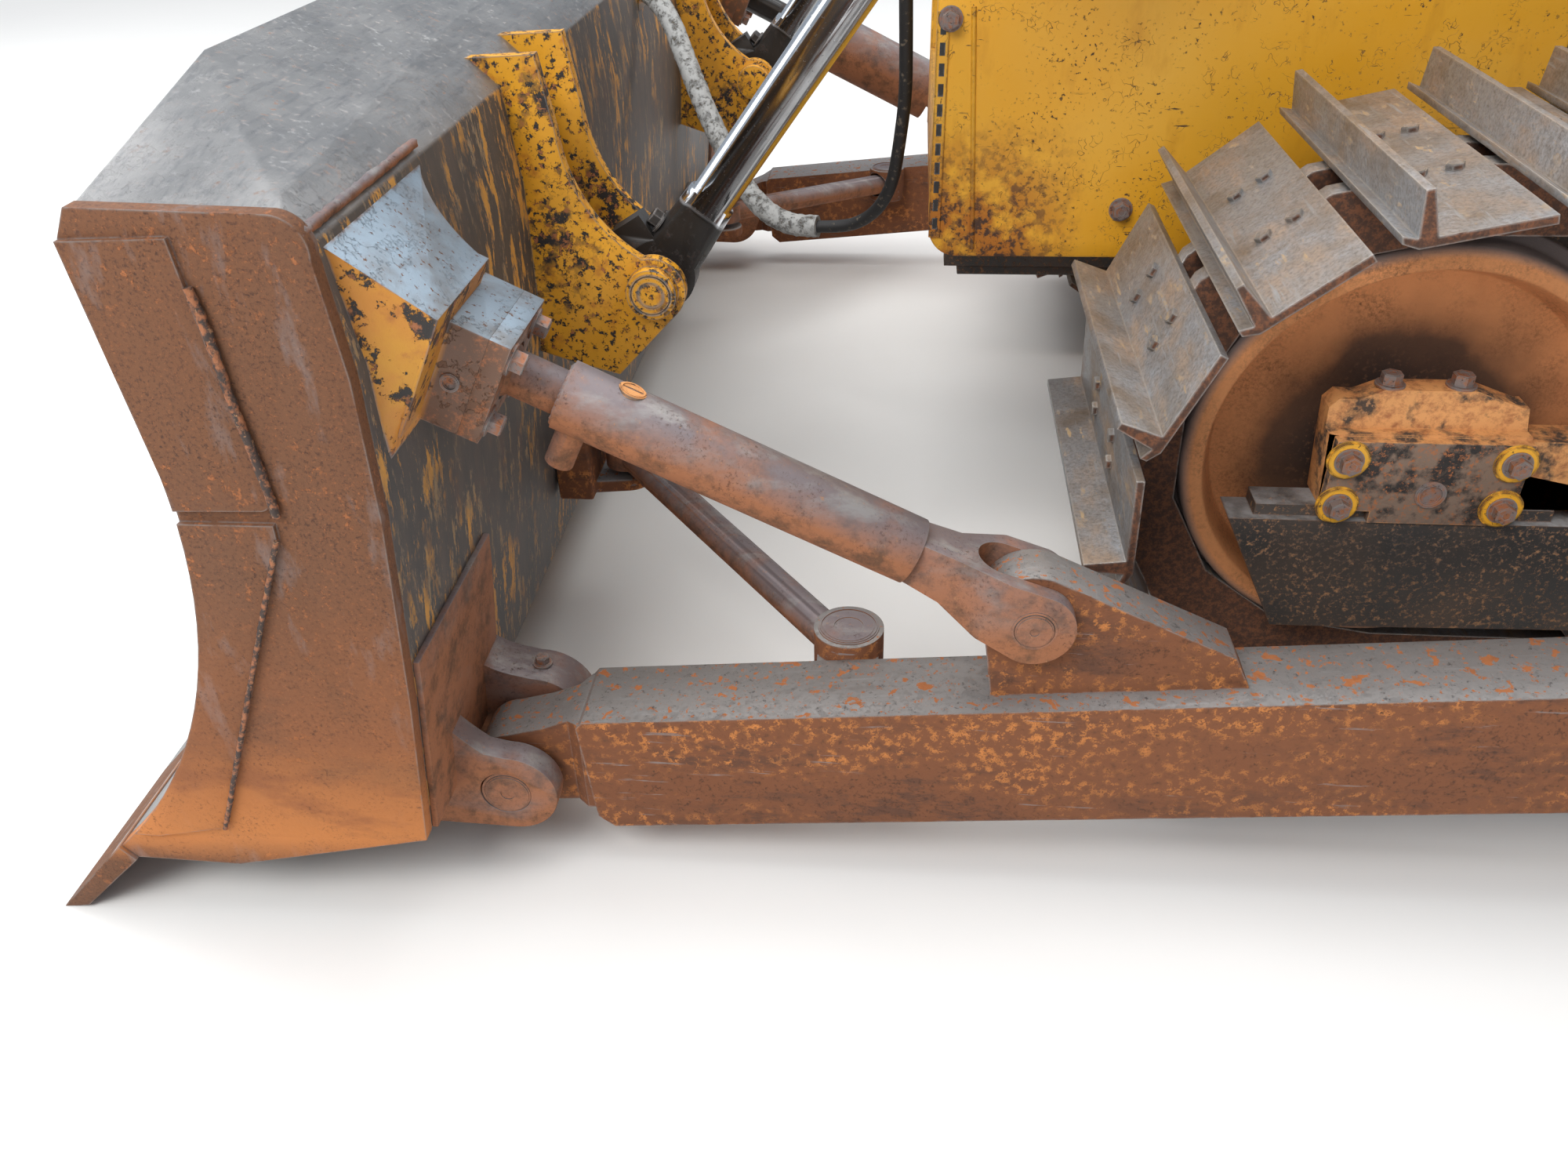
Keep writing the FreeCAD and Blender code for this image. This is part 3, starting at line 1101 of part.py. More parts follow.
# The machine stands with the middle of its length at X = 0
lowest = min(shape.BoundBox.XMin for shape in nodes.values())
highest = max(shape.BoundBox.XMax for shape in nodes.values())
idler_x = -(lowest + highest) / 2
for name, shape in nodes.items():
    shape.translate(V(idler_x, 0, 0))
    if not shape.isValid():
        print("not valid:", name)
    shape.exportStep("parts/" + name + ".step")
print("idler at x", round(idler_x, 3), "axles apart", round(axle_gap, 3), "nodes", len(nodes))
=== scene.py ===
"""Finishes a worn crawler tractor: rusty blade and push arms, scratched yellow
enamel, steel track shoes, hoses, bolts and welds, on a plain pale floor."""

import json
import math

import bmesh
import bpy
from mathutils import Matrix, Vector
from mathutils.bvhtree import BVHTree


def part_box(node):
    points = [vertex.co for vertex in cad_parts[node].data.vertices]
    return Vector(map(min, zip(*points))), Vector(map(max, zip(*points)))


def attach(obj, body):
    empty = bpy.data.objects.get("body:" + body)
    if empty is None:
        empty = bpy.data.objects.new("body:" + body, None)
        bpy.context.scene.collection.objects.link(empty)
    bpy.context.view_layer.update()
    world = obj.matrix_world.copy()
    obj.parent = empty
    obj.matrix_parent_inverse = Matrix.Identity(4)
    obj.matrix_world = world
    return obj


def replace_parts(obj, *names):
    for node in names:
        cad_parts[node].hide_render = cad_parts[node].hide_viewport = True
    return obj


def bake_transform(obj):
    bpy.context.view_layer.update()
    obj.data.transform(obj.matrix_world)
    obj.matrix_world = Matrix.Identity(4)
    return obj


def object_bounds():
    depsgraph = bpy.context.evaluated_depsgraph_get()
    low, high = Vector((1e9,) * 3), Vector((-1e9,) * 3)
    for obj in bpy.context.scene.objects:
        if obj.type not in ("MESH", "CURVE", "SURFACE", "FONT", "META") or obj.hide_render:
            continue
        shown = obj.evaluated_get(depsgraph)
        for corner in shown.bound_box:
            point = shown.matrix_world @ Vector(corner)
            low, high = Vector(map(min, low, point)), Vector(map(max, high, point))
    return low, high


bl_info = {
    "name": "Crawler Tractor",
    "version": (1, 0, 0),
    "blender": (4, 5, 0),
    "location": "View3D > Sidebar > Crawler",
    "description": "Finishes a worn crawler tractor with a straight blade",
    "category": "Object",
}

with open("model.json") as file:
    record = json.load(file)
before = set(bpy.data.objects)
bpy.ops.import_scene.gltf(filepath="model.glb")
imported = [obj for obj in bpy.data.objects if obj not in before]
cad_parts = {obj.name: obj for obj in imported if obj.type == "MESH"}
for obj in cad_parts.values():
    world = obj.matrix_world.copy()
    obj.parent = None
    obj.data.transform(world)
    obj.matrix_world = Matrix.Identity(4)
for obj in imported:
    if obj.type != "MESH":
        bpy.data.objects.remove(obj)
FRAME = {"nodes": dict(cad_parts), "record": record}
NODES = FRAME["nodes"]
CAD_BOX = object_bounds()
BODY_OF = {node: body for body, nodes in FRAME["record"]["behaviour"]["bodies"].items() for node in nodes}
MM = 0.001

# Left and right of the middle plane
SIDES = (1, -1)

# Middle of the front idlers, from which all places are given
IDLER_LOW, IDLER_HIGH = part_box("idlers")
IDLER_X = (IDLER_LOW.x + IDLER_HIGH.x) / 2
IDLER_Z = (IDLER_LOW.z + IDLER_HIGH.z) / 2

# Pins, in millimetres ahead of the idlers, beside the middle plane and above the ground
LIFT_PIN = (1325, 823, 807)
FORK_PIN = (660, 1483, 528)

# The way up along the two braces, which rise by 26.2 degrees, and the way square to it
BRACE_RISE = math.radians(26.2)
BRACE_AHEAD = Vector((math.cos(BRACE_RISE), 0, math.sin(BRACE_RISE)))
BRACE_UPWARD = Vector((-BRACE_AHEAD.z, 0, BRACE_AHEAD.x))


def hex_colour(text):
    """Linear RGBA of an sRGB hex value."""
    values = [int(text[i:i + 2], 16) / 255 for i in (1, 3, 5)]
    return tuple(v / 12.92 if v <= 0.04045 else ((v + 0.055) / 1.055) ** 2.4 for v in values) + (1.0,)


def at_idler(x, y, z):
    """Point from millimetres ahead of the idlers, beside the middle plane and above the ground."""
    return Vector((IDLER_X + x * MM, y * MM, z * MM))


def per_mm(size):
    """Texture scale at which one feature is about size millimetres."""
    return 1000.0 / size


def add(tree, kind, inputs=None, **settings):
    """Adds one node. An input is a value or another node's output."""
    made = tree.nodes.new("ShaderNode" + kind)
    for key, value in settings.items():
        setattr(made, key, value)
    for key, value in (inputs or {}).items():
        if isinstance(value, bpy.types.NodeSocket):
            tree.links.new(value, made.inputs[key])
        else:
            made.inputs[key].default_value = value
    return made


def new_finish(name, **plain):
    """Material with a Principled shader whose plain values are given."""
    made = bpy.data.materials.new(name)
    made.use_nodes = True
    tree = made.node_tree
    tree.nodes.clear()
    shader = add(tree, "BsdfPrincipled", plain)
    add(tree, "OutputMaterial", {"Surface": shader.outputs[0]})
    return made, tree, shader


def place(tree, scale=(1, 1, 1), offset=(0, 0, 0), turn=(0, 0, 0)):
    """Object coordinates in metres, stretched or turned for a pattern."""
    at = add(tree, "TexCoord").outputs["Object"]
    if scale == (1, 1, 1) and offset == (0, 0, 0) and turn == (0, 0, 0):
        return at
    return add(tree, "Mapping", {"Vector": at, "Location": offset, "Rotation": turn,
                                 "Scale": scale}).outputs[0]


def from_axle(tree, x, z):
    """Distance in metres from an axle that lies across the tractor."""
    centred = place(tree, (1, 0, 1), (-x, 0, -z))
    return add(tree, "VectorMath", {0: centred}, operation="LENGTH").outputs["Value"]


def patches(at, size, low, high, detail=7.0, rough=0.62, warp=0.0):
    """Irregular patches about size millimetres across: 0 under low, 1 over high."""
    tree = at.id_data
    field = add(tree, "TexNoise", {"Vector": at, "Scale": per_mm(size), "Detail": detail,
                                   "Roughness": rough, "Distortion": warp})
    return add(tree, "MapRange", {"Value": field.outputs[0], "From Min": low, "From Max": high}).outputs[0]


def hairlines(at, cell, width, warp):
    """Thin wandering lines between cells of about cell millimetres."""
    tree = at.id_data
    wander = add(tree, "TexNoise", {"Vector": at, "Scale": per_mm(cell * 0.7), "Detail": 3.0})
    shifted = add(tree, "Mix", {0: warp * cell * 0.01, 4: at, 5: wander.outputs[1]}, data_type="VECTOR")
    cells = add(tree, "TexVoronoi", {"Vector": shifted.outputs[1], "Scale": per_mm(cell)},
                feature="DISTANCE_TO_EDGE")
    return add(tree, "MapRange", {"Value": cells.outputs["Distance"], "From Min": 0.0,
                                  "From Max": width / cell, "To Min": 1.0, "To Max": 0.0}).outputs[0]


def both(first, second):
    """Where two masks overlap."""
    return add(first.id_data, "Math", {0: first, 1: second}, operation="MULTIPLY", use_clamp=True).outputs[0]


def either(first, second):
    """Where either mask is."""
    return add(first.id_data, "Math", {0: first, 1: second}, operation="MAXIMUM", use_clamp=True).outputs[0]


def facing(tree, axis, low, high):
    """Mask of the faces that look along an axis."""
    normal = add(tree, "TexCoord").outputs["Normal"]
    along = add(tree, "VectorMath", {0: normal, 1: axis}, operation="DOT_PRODUCT").outputs["Value"]
    return add(tree, "MapRange", {"Value": along, "From Min": low, "From Max": high}).outputs[0]


def span_mask(tree, axis, zero, one):
    """Mask that is 0 at one coordinate of an axis, in metres, and grows to 1 at the other."""
    along = add(tree, "SeparateXYZ", {0: place(tree)}).outputs[axis]
    return add(tree, "MapRange", {"Value": along, "From Min": zero, "From Max": one}).outputs[0]


def height_mask(tree, low, high):
    """Mask that is 1 at height low, in metres, and 0 at height high."""
    return span_mask(tree, 2, high, low)


def beyond(tree, start, end):
    """Mask that grows from 0 at a distance of start metres beside the middle plane to 1 at end."""
    along = add(tree, "SeparateXYZ", {0: place(tree)}).outputs[1]
    away = add(tree, "Math", {0: along}, operation="ABSOLUTE").outputs[0]
    return add(tree, "MapRange", {"Value": away, "From Min": start, "From Max": end}).outputs[0]


def worn_edges(tree, radius, size=0, low=0.4, high=0.5, full=0.16):
    """Mask of the edges, about radius millimetres wide, and broken up by patches if their size is
    given. It is full where the rounded normal leaves the true one by the given share."""
    rounded = add(tree, "Bevel", {"Radius": radius * MM}, samples=4).outputs[0]
    true = add(tree, "NewGeometry").outputs["Normal"]
    same = add(tree, "VectorMath", {0: rounded, 1: true}, operation="DOT_PRODUCT").outputs["Value"]
    edge = add(tree, "MapRange", {"Value": same, "From Min": 0.98, "From Max": 1 - full}).outputs[0]
    return both(edge, patches(place(tree), size, low, high)) if size else edge


def painted(colour):
    """Plain value of a colour that is given by its name."""
    return tuple(getattr(bpy.context.scene.crawler_colours, colour)) if isinstance(colour, str) else colour


def coats(base, *layers):
    """Colour built up in coats: each layer is a mask and the colour that it lays on."""
    base = painted(base)
    for mask, over in layers:
        base = add(mask.id_data, "Mix", {0: mask, 6: base, 7: painted(over)}, data_type="RGBA").outputs[2]
    return base


def levels(base, *layers):
    """Number built up the same way, for roughness and metal."""
    for mask, over in layers:
        base = add(mask.id_data, "Mix", {0: mask, 2: base, 3: over}).outputs[0]
    return base


def relief(shader, *fields):
    """Bumps a shader by several masks, each with its height in millimetres."""
    tree, normal = shader.id_data, None
    for field, height in fields:
        inputs = {"Height": field, "Distance": abs(height) * MM, "Strength": 1.0}
        if normal is not None:
            inputs["Normal"] = normal
        normal = add(tree, "Bump", inputs, invert=height < 0).outputs[0]
    tree.links.new(normal, shader.inputs["Normal"])


def wear(shader, colour, rough, metal=0.0, **plain):
    """Sets the built-up colour, roughness and metal on a shader, and its plain values."""
    for key, value in {"Base Color": colour, "Roughness": rough, "Metallic": metal, **plain}.items():
        if isinstance(value, bpy.types.NodeSocket):
            shader.id_data.links.new(value, shader.inputs[key])
        else:
            shader.inputs[key.replace("_", " ")].default_value = value


# Finishes


def scratched_yellow_enamel(tree, shader, at):
    """Yellow alkyd enamel, brushed and sprayed over years: a dull gloss that is chipped
    to brown primer, scratched in short hairlines and rusty at edges and near the ground."""
    chips = both(patches(at, 9, 0.60, 0.625), patches(at, 150, 0.46, 0.60))
    steep = place(tree, turn=(0, 0.6, 0))
    marks = both(hairlines(steep, 90, 1.6, 0.5), patches(at, 55, 0.54, 0.58))
    drawn_out = place(tree, (0.12, 1, 1), turn=(0, 0.9, 0))
    slants = both(patches(drawn_out, 9, 0.66, 0.68), patches(at, 260, 0.45, 0.55))
    edge = worn_edges(tree, 7, 22, 0.38, 0.52)
    nose_foot = both(height_mask(tree, 0.80, 1.0), span_mask(tree, 0, 1.05, 1.2))
    low = both(nose_foot, patches(at, 90, 0.38, 0.50))
    dust = both(facing(tree, (0, 0, 1), 0.5, 0.95), patches(at, 320, 0.30, 0.95))
    bare = either(either(chips, marks), either(edge, slants))
    colour = coats(
        "enamel",
        (patches(at, 420, 0.35, 0.70), "enamel_faded"),
        (patches(place(tree, (1, 1, 0.35)), 60, 0.56, 0.85), "enamel_deep"),
        (dust, "dust"),
        (low, "enamel_rusty"),
        (both(low, patches(at, 18, 0.48, 0.56)), "rust_dark"),
        (bare, "primer"))
    rough = levels(0.38, (patches(at, 35, 0.3, 0.8), 0.52), (dust, 0.8), (low, 0.75), (bare, 0.7))
    wear(shader, colour, rough, IOR=1.5)
    relief(shader, (bare, -0.5), (patches(at, 2.5, 0.2, 0.8, 2.0), 0.05))


def speckled_yellow_enamel(tree, shader, at):
    """Yellow enamel on a hot-rolled plate that is rubbed through all over to black scale
    in specks of 5 to 15 mm, with the cut edges polished by soil."""
    specks = patches(at, 15, 0.545, 0.565, 9.0, 0.72)
    heavy = both(patches(at, 170, 0.50, 0.58), patches(at, 24, 0.50, 0.52, 9.0, 0.7))
    bare = either(specks, heavy)
    edge = worn_edges(tree, 5)
    colour = coats(
        "enamel",
        (patches(at, 200, 0.35, 0.75), "enamel_deep"),
        (patches(at, 40, 0.56, 0.72), "enamel_rusty"),
        (bare, "scale_black"),
        (both(bare, patches(at, 11, 0.54, 0.60)), "rust_side"),
        (edge, "bare_steel"))
    wear(shader, colour, levels(0.5, (bare, 0.75), (edge, 0.42)), levels(0.0, (edge, 0.7)), IOR=1.5)
    relief(shader, (bare, -0.6), (patches(at, 4, 0.2, 0.8, 3.0), 0.15))


def mouldboard_plate(tree, shader, at):
    """Carbon steel mouldboard: soil-polished blue-grey where it is rubbed, black scale
    with sparse upright chips of old yellow on the back, brown rust in the pits."""
    upright = place(tree, (1, 1, 0.3))
    deck = either(facing(tree, (0, 0, 1), 0.35, 0.65), facing(tree, (1, 0, 0), 0.2, 0.5))
    yellow = both(patches(upright, 34, 0.535, 0.55, 10.0, 0.76), patches(at, 380, 0.43, 0.52))
    tan = both(patches(upright, 24, 0.55, 0.59, 8.0, 0.78), patches(at, 230, 0.40, 0.55))
    brown = patches(upright, 34, 0.52, 0.66)
    back = coats(
        "scale_black",
        (patches(upright, 60, 0.38, 0.75), "scale_brown"),
        (brown, "rust_dark"),
        (tan, "streak_tan"),
        (yellow, "enamel_deep"))
    pits = patches(at, 12, 0.57, 0.66)
    sheen = coats(
        "deck_steel",
        (patches(at, 160, 0.40, 0.70), "deck_pale"),
        (patches(place(tree, (1, 0.15, 1)), 10, 0.5, 0.8), "deck_dark"),
        (both(pits, patches(at, 120, 0.44, 0.6)), "rust_brown"))
    edge = worn_edges(tree, 5, 30, 0.35, 0.5)
    colour = coats(back, (deck, sheen), (edge, "bare_steel"))
    rough = levels(0.62, (either(yellow, tan), 0.7), (deck, 0.42), (both(deck, pits), 0.7))
    wear(shader, colour, rough, levels(0.1, (deck, 0.7), (pits, 0.1)), IOR=2.2)
    relief(shader, (either(yellow, tan), 0.35), (patches(at, 5, 0.2, 0.8, 4.0), 0.2))


def end_plate_rust(tree, shader, at):
    """Hot-rolled plate with a dense brown rust skin, orange where soil stays wet."""
    slanted = place(tree, (1, 1, 0.3), turn=(0, 0.5, 0))
    pores = both(patches(at, 6, 0.54, 0.68, 8.0, 0.8), patches(at, 90, 0.40, 0.60))
    wet = both(height_mask(tree, 0.12, 0.70), patches(place(tree, (0.5, 1, 1)), 110, 0.28, 0.52))
    above_bits = span_mask(tree, 2, 0.12, 0.20)
    soaked = both(height_mask(tree, 0.10, 0.40), patches(place(tree, (0.4, 1, 1)), 70, 0.36, 0.52))
    rub = patches(slanted, 60, 0.56, 0.72)
    crust = both(patches(at, 16, 0.56, 0.61, 8.0, 0.75), patches(at, 130, 0.45, 0.60))
    edge = worn_edges(tree, 5, 35, 0.38, 0.52)
    colour = coats(
        "plate_brown",
        (patches(slanted, 200, 0.42, 0.66), "rust_brown"),
        (patches(at, 6, 0.50, 0.62, 6.0, 0.8), "arm_dark"),
        (patches(at, 5, 0.57, 0.68, 6.0, 0.8), "rust_side"),
        (crust, "rust_side"),
        (rub, "rust_grey"),
        (both(wet, above_bits), "rust_side"),
        (both(soaked, above_bits), "rust_orange"),
        (pores, "rust_dark"),
        (edge, "edge_grey"))
    rough = levels(0.72, (rub, 0.55), (wet, 0.85), (edge, 0.5))
    wear(shader, colour, rough, levels(0.0, (rub, 0.15), (edge, 0.4)), IOR=1.4)
    relief(shader, (pores, -0.3), (patches(at, 26, 0.3, 0.7), 0.5), (crust, 0.3))


def push_arm_rust(tree, shader, at):
    """Welded box beam: deep orange rust on its sides, blue-grey wear with rust spots on top."""
    along = place(tree, (0.35, 1, 1))
    top = facing(tree, (0, 0, 1), 0.45, 0.8)
    dark = both(patches(along, 55, 0.50, 0.58, 9.0, 0.75), patches(at, 240, 0.36, 0.60))
    pores = patches(at, 8, 0.53, 0.66, 8.0, 0.8)
    bright = both(patches(at, 16, 0.52, 0.57, 9.0, 0.8), patches(along, 150, 0.44, 0.60))
    side = coats(
        "arm_rust",
        (dark, "arm_dark"),
        (bright, "rust_orange"),
        (pores, "rust_dark"),
        (patches(place(tree, (0.06, 1, 1)), 10, 0.64, 0.68), "rust_grey"))
    spots = either(patches(at, 26, 0.60, 0.62, 6.0, 0.6, 0.4), patches(at, 11, 0.61, 0.64))
    upper = coats(
        "worn_top_and_sky_reflection",
        (patches(along, 120, 0.45, 0.7), "edge_grey"),
        (patches(place(tree, (0.06, 1, 1)), 12, 0.58, 0.70), "deck_pale"),
        (patches(at, 12, 0.57, 0.64, 8.0, 0.8), "top_dark"),
        (spots, "rust_side"))
    edge = worn_edges(tree, 6, 30, 0.38, 0.5)
    colour = coats(side, (top, upper), (edge, "edge_grey"))
    rough = levels(0.85, (dark, 0.72), (top, 0.50), (both(top, spots), 0.8), (edge, 0.5))
    wear(shader, colour, rough, levels(0.0, (top, 0.45), (both(top, spots), 0.0)), IOR=1.4)
    relief(shader, (pores, -0.4), (bright, 0.3), (patches(at, 30, 0.3, 0.7), 0.4))


def brace_tube_rust(tree, shader, at):
    """Drawn tube and forged ends in brown rust, with painted light: the faces that look up are painted violet
    grey as a reflection of the sky, and the redder rust below stands partly for warm light bounced from the
    ground.
    """
    # Painted sky reflection: the faces that look up are turned violet grey and grey here, with their edges
    # rubbed bright
    top = both(facing(tree, (0, 0, 1), -0.1, 0.75), patches(at, 160, 0.25, 0.50))
    pores = both(patches(at, 6, 0.53, 0.68, 8.0, 0.8), patches(at, 70, 0.40, 0.60))
    colour = coats(
        # The base rust brown also stands for warm light bounced from the ground onto the lower faces
        "tube_rust",
        (patches(at, 50, 0.46, 0.62, 8.0, 0.75), "rust_brown"),
        (top, "tube_sky_reflection"),
        (both(top, patches(place(tree, (0.3, 1, 1)), 40, 0.50, 0.66)), "worn_top_and_sky_reflection"),
        (pores, "rust_dark"),
        (patches(at, 9, 0.60, 0.68, 8.0, 0.8), "rust_light"),
        (both(worn_edges(tree, 4), top), "edge_grey"))
    wear(shader, colour, levels(0.8, (top, 0.5), (pores, 0.75)), levels(0.05, (top, 0.4)), IOR=1.4)
    relief(shader, (pores, -0.3), (patches(at, 18, 0.3, 0.7), 0.3))


def track_shoe_steel(tree, shader, at):
    """Rolled and hardened track shoe: soil-polished grey, dried mud in the pores, grouser
    edges bright, cropped ends rusty."""
    ends = facing(tree, (0, 1, 0), 0.6, 0.9)
    mud = patches(place(tree, (1, 0.4, 1)), 80, 0.50, 0.66)
    grain = patches(at, 7, 0.45, 0.75, 8.0, 0.8)
    scrapes = patches(place(tree, (1, 0.08, 1)), 11, 0.58, 0.68)
    tan = both(patches(place(tree, (1, 0.3, 1)), 16, 0.57, 0.64), patches(at, 160, 0.48, 0.60))
    edge = worn_edges(tree, 6, full=0.12)
    colour = coats(
        "shoe_grey",
        (patches(at, 150, 0.42, 0.68), "shoe_brown"),
        (mud, "shoe_mud"),
        (grain, "shoe_dark"),
        (scrapes, "deck_pale"),
        (tan, "soil_tan"),
        (ends, "rust_dark"),
        (both(ends, patches(at, 14, 0.46, 0.58, 8.0, 0.8)), "arm_rust"),
        (both(edge, patches(at, 20, 0.3, 0.45)), "grouser_bright"))
    rough = levels(0.46, (mud, 0.65), (tan, 0.85), (ends, 0.85), (edge, 0.34))
    wear(shader, colour, rough, levels(0.6, (mud, 0.25), (tan, 0.0), (ends, 0.0), (edge, 0.8)), IOR=1.5)
    relief(shader, (grain, 0.3), (patches(at, 22, 0.3, 0.7), 0.8), (scrapes, -0.2))


def chain_link_iron(tree, shader, at):
    """Forged chain links, oily brown with orange dust in the corners."""
    grain = patches(at, 8, 0.4, 0.65)
    orange = both(patches(at, 60, 0.52, 0.62), patches(at, 14, 0.42, 0.55))
    colour = coats("rust_deep", (grain, "scale_black"), (orange, "rust_side"),
                   (worn_edges(tree, 4, 25, 0.4, 0.5), "rust_light"))
    wear(shader, colour, levels(0.7, (orange, 0.88)), IOR=1.6)
    relief(shader, (grain, 0.5))


def idler_rust(tree, shader, at):
    """Cast iron idler: orange dust on the rim, turned rings, a dark oily web near the hub."""
    reach = from_axle(tree, IDLER_X, IDLER_Z)
    # All from here to the worn tread goes by the distance from the axle, in metres
    rings = add(tree, "TexNoise", {"W": reach, "Scale": per_mm(5), "Detail": 6.0, "Roughness": 0.8},
                noise_dimensions="1D").outputs[0]
    wander = add(tree, "TexNoise", {"Vector": at, "Scale": per_mm(150), "Detail": 4.0}).outputs[0]
    bent = add(tree, "Math", {0: wander, 1: 0.16, 2: reach}, operation="MULTIPLY_ADD").outputs[0]
    rim = add(tree, "MapRange", {"Value": bent, "From Min": 0.28, "From Max": 0.40}).outputs[0]
    oily = add(tree, "MapRange", {"Value": bent, "From Min": 0.30, "From Max": 0.20}).outputs[0]
    worn = add(tree, "MapRange", {"Value": reach, "From Min": 0.355, "From Max": 0.372}).outputs[0]
    grain = patches(at, 6, 0.45, 0.7, 8.0, 0.8)
    orange = both(rim, patches(at, 260, 0.18, 0.40))
    colour = coats(
        "rust_brown",
        (rim, "rust_side"),
        (orange, "idler_orange"),
        (both(grain, patches(at, 80, 0.40, 0.68)), "rust_dark"),
        (oily, "rust_deep"),
        (both(oily, patches(at, 10, 0.55, 0.62)), "rust_brown"),
        (worn, "rust_grey"))
    wear(shader, colour, levels(0.85, (oily, 0.6), (worn, 0.6)), IOR=1.4)
    relief(shader, (rings, 0.5), (grain, 0.3))


def speckled_black_enamel(tree, shader, at):
    """Black enamel of the track frames, worn to rust in fine specks."""
    specks = patches(at, 10, 0.53, 0.60, 8.0, 0.8)
    top = facing(tree, (0, 0, 1), 0.5, 0.85)
    colour = coats(
        "black_enamel",
        (patches(at, 200, 0.4, 0.7), "scale_brown"),
        (both(specks, patches(at, 160, 0.30, 0.60)), "rust_light"),
        (both(top, patches(at, 60, 0.3, 0.6)), "worn_top_and_sky_reflection"),
        (worn_edges(tree, 6, 25, 0.38, 0.5), "rust_brown"))
    wear(shader, colour, levels(0.48, (specks, 0.8), (top, 0.6)), IOR=1.5)
    relief(shader, (specks, -0.35))


def idler_block_ochre(tree, shader, at):
    """Cast blocks and clamps under baked oil, with ochre enamel left on the cap and the
    corners of the covers, and the covers' middles speckled black."""
    cake = patches(at, 55, 0.50, 0.60)
    cover = both(beyond(tree, 1.165, 1.168), facing(tree, (0, 0, 1), 0.9, 0.6))
    specks = patches(at, 9, 0.54, 0.60, 8.0, 0.8)
    colour = coats(
        "ochre",
        (patches(at, 20, 0.46, 0.66, 8.0, 0.75), "rust_side"),
        (cake, "scale_brown"),
        (both(cake, patches(at, 8, 0.56, 0.62)), "rust_light"),
        (cover, "cover_black"),
        (both(cover, patches(at, 40, 0.46, 0.58)), "scale_black"),
        (both(cover, specks), "rust_side"),
        (worn_edges(tree, 4, 18, 0.4, 0.55), "ochre"))
    wear(shader, colour, levels(0.7, (cake, 0.8)), IOR=1.5)
    relief(shader, (cake, 0.7), (patches(at, 6, 0.3, 0.7), 0.3))


def hard_chrome(tree, shader, at):
    """Ground and chromed rod, near mirror with faint rings of oil, on a forged end that is
    black with oil within about 150 mm of its pin."""
    pin = at_idler(*LIFT_PIN)
    reach = from_axle(tree, pin.x, pin.z)
    forged = add(tree, "MapRange", {"Value": reach, "From Min": 0.150, "From Max": 0.142}).outputs[0]
    film = patches(at, 90, 0.45, 0.75, 3.0)
    dry = both(forged, patches(at, 26, 0.56, 0.66, 8.0, 0.75))
    colour = coats("chrome", (film, "chrome_oiled"), (forged, "oil_black"), (dry, "rust_deep"))
    rough = levels(0.13, (film, 0.22), (patches(at, 6, 0.62, 0.66), 0.35), (forged, 0.45), (dry, 0.8))
    wear(shader, colour, rough, levels(1.0, (forged, 0.0)))
    relief(shader, (patches(at, 30, 0.3, 0.7, 2.0), 0.02), (dry, 0.4))


def oily_black_forging(tree, shader, at):
    """Forged steel under black oil and grease, brown where it is dry."""
    dry = patches(at, 26, 0.56, 0.66, 8.0, 0.75)
    colour = coats("oil_black", (dry, "rust_deep"), (worn_edges(tree, 4, 20, 0.45, 0.55), "edge_grey"))
    wear(shader, colour, levels(0.45, (dry, 0.8)), IOR=1.6)
    relief(shader, (dry, 0.4), (patches(at, 9, 0.3, 0.7), 0.3))


def black_enamel(tree, shader, at):
    """Plain black enamel with dust on what faces up."""
    dust = both(facing(tree, (0, 0, 1), 0.2, 0.9), patches(at, 60, 0.3, 0.7))
    worn = worn_edges(tree, 4, 22, 0.4, 0.55)
    colour = coats("black_enamel", (dust, "dust_dark"), (worn, "edge_grey"))
    wear(shader, colour, levels(0.4, (dust, 0.8), (worn, 0.5)), IOR=1.5)
    relief(shader, (patches(at, 3, 0.3, 0.7, 2.0), 0.04))


def oily_engine_iron(tree, shader, at):
    """Cast iron in faded engine enamel under oily dust."""
    oil = patches(place(tree, (1, 1, 0.4)), 80, 0.46, 0.62)
    grit = patches(at, 5, 0.4, 0.7)
    colour = coats("engine", (patches(at, 150, 0.4, 0.65), "dust_dark"),
                   (oil, "oil_black"), (both(grit, oil), "scale_brown"))
    wear(shader, colour, levels(0.7, (oil, 0.38)), IOR=1.5)
    relief(shader, (grit, 0.4))


def hose_rubber(tree, shader, at):
    """Extruded oil hose: matt rubber with grey scuffs."""
    scuffs = patches(at, 14, 0.58, 0.66)
    wear(shader, coats("rubber", (scuffs, "dust_dark")), levels(0.62, (scuffs, 0.85)), IOR=1.5)
    relief(shader, (patches(at, 3, 0.3, 0.7, 3.0), 0.15))


def frayed_sleeve(tree, shader, at):
    """Woven glass sleeve, bleached and frayed: threads about 1 mm wide, drawn as coarse as
    6 mm tufts, with soil in the gaps."""
    torn = patches(at, 20, 0.50, 0.60, 8.0, 0.75)
    tufts = patches(at, 6, 0.35, 0.65, 6.0, 0.75)
    colour = coats("sleeve", (torn, "sleeve_dark"), (both(torn, patches(at, 9, 0.52, 0.58)), "dust_dark"))
    wear(shader, colour, 0.92, IOR=1.5)
    relief(shader, (tufts, 1.6), (torn, -1.2))


def seat_vinyl(tree, shader, at):
    """Moulded and sewn vinyl with a leather grain of about 1.5 mm, drawn at 3 mm."""
    cells = add(tree, "TexVoronoi", {"Vector": at, "Scale": per_mm(3)}, feature="DISTANCE_TO_EDGE")
    grain = cells.outputs["Distance"]
    scuffs = both(patches(at, 70, 0.5, 0.7), patches(at, 6, 0.4, 0.6))
    wear(shader, coats("vinyl", (scuffs, "dust_dark")), levels(0.5, (scuffs, 0.75)), IOR=1.5)
    relief(shader, (grain, 0.25), (patches(at, 40, 0.3, 0.7), 0.5))


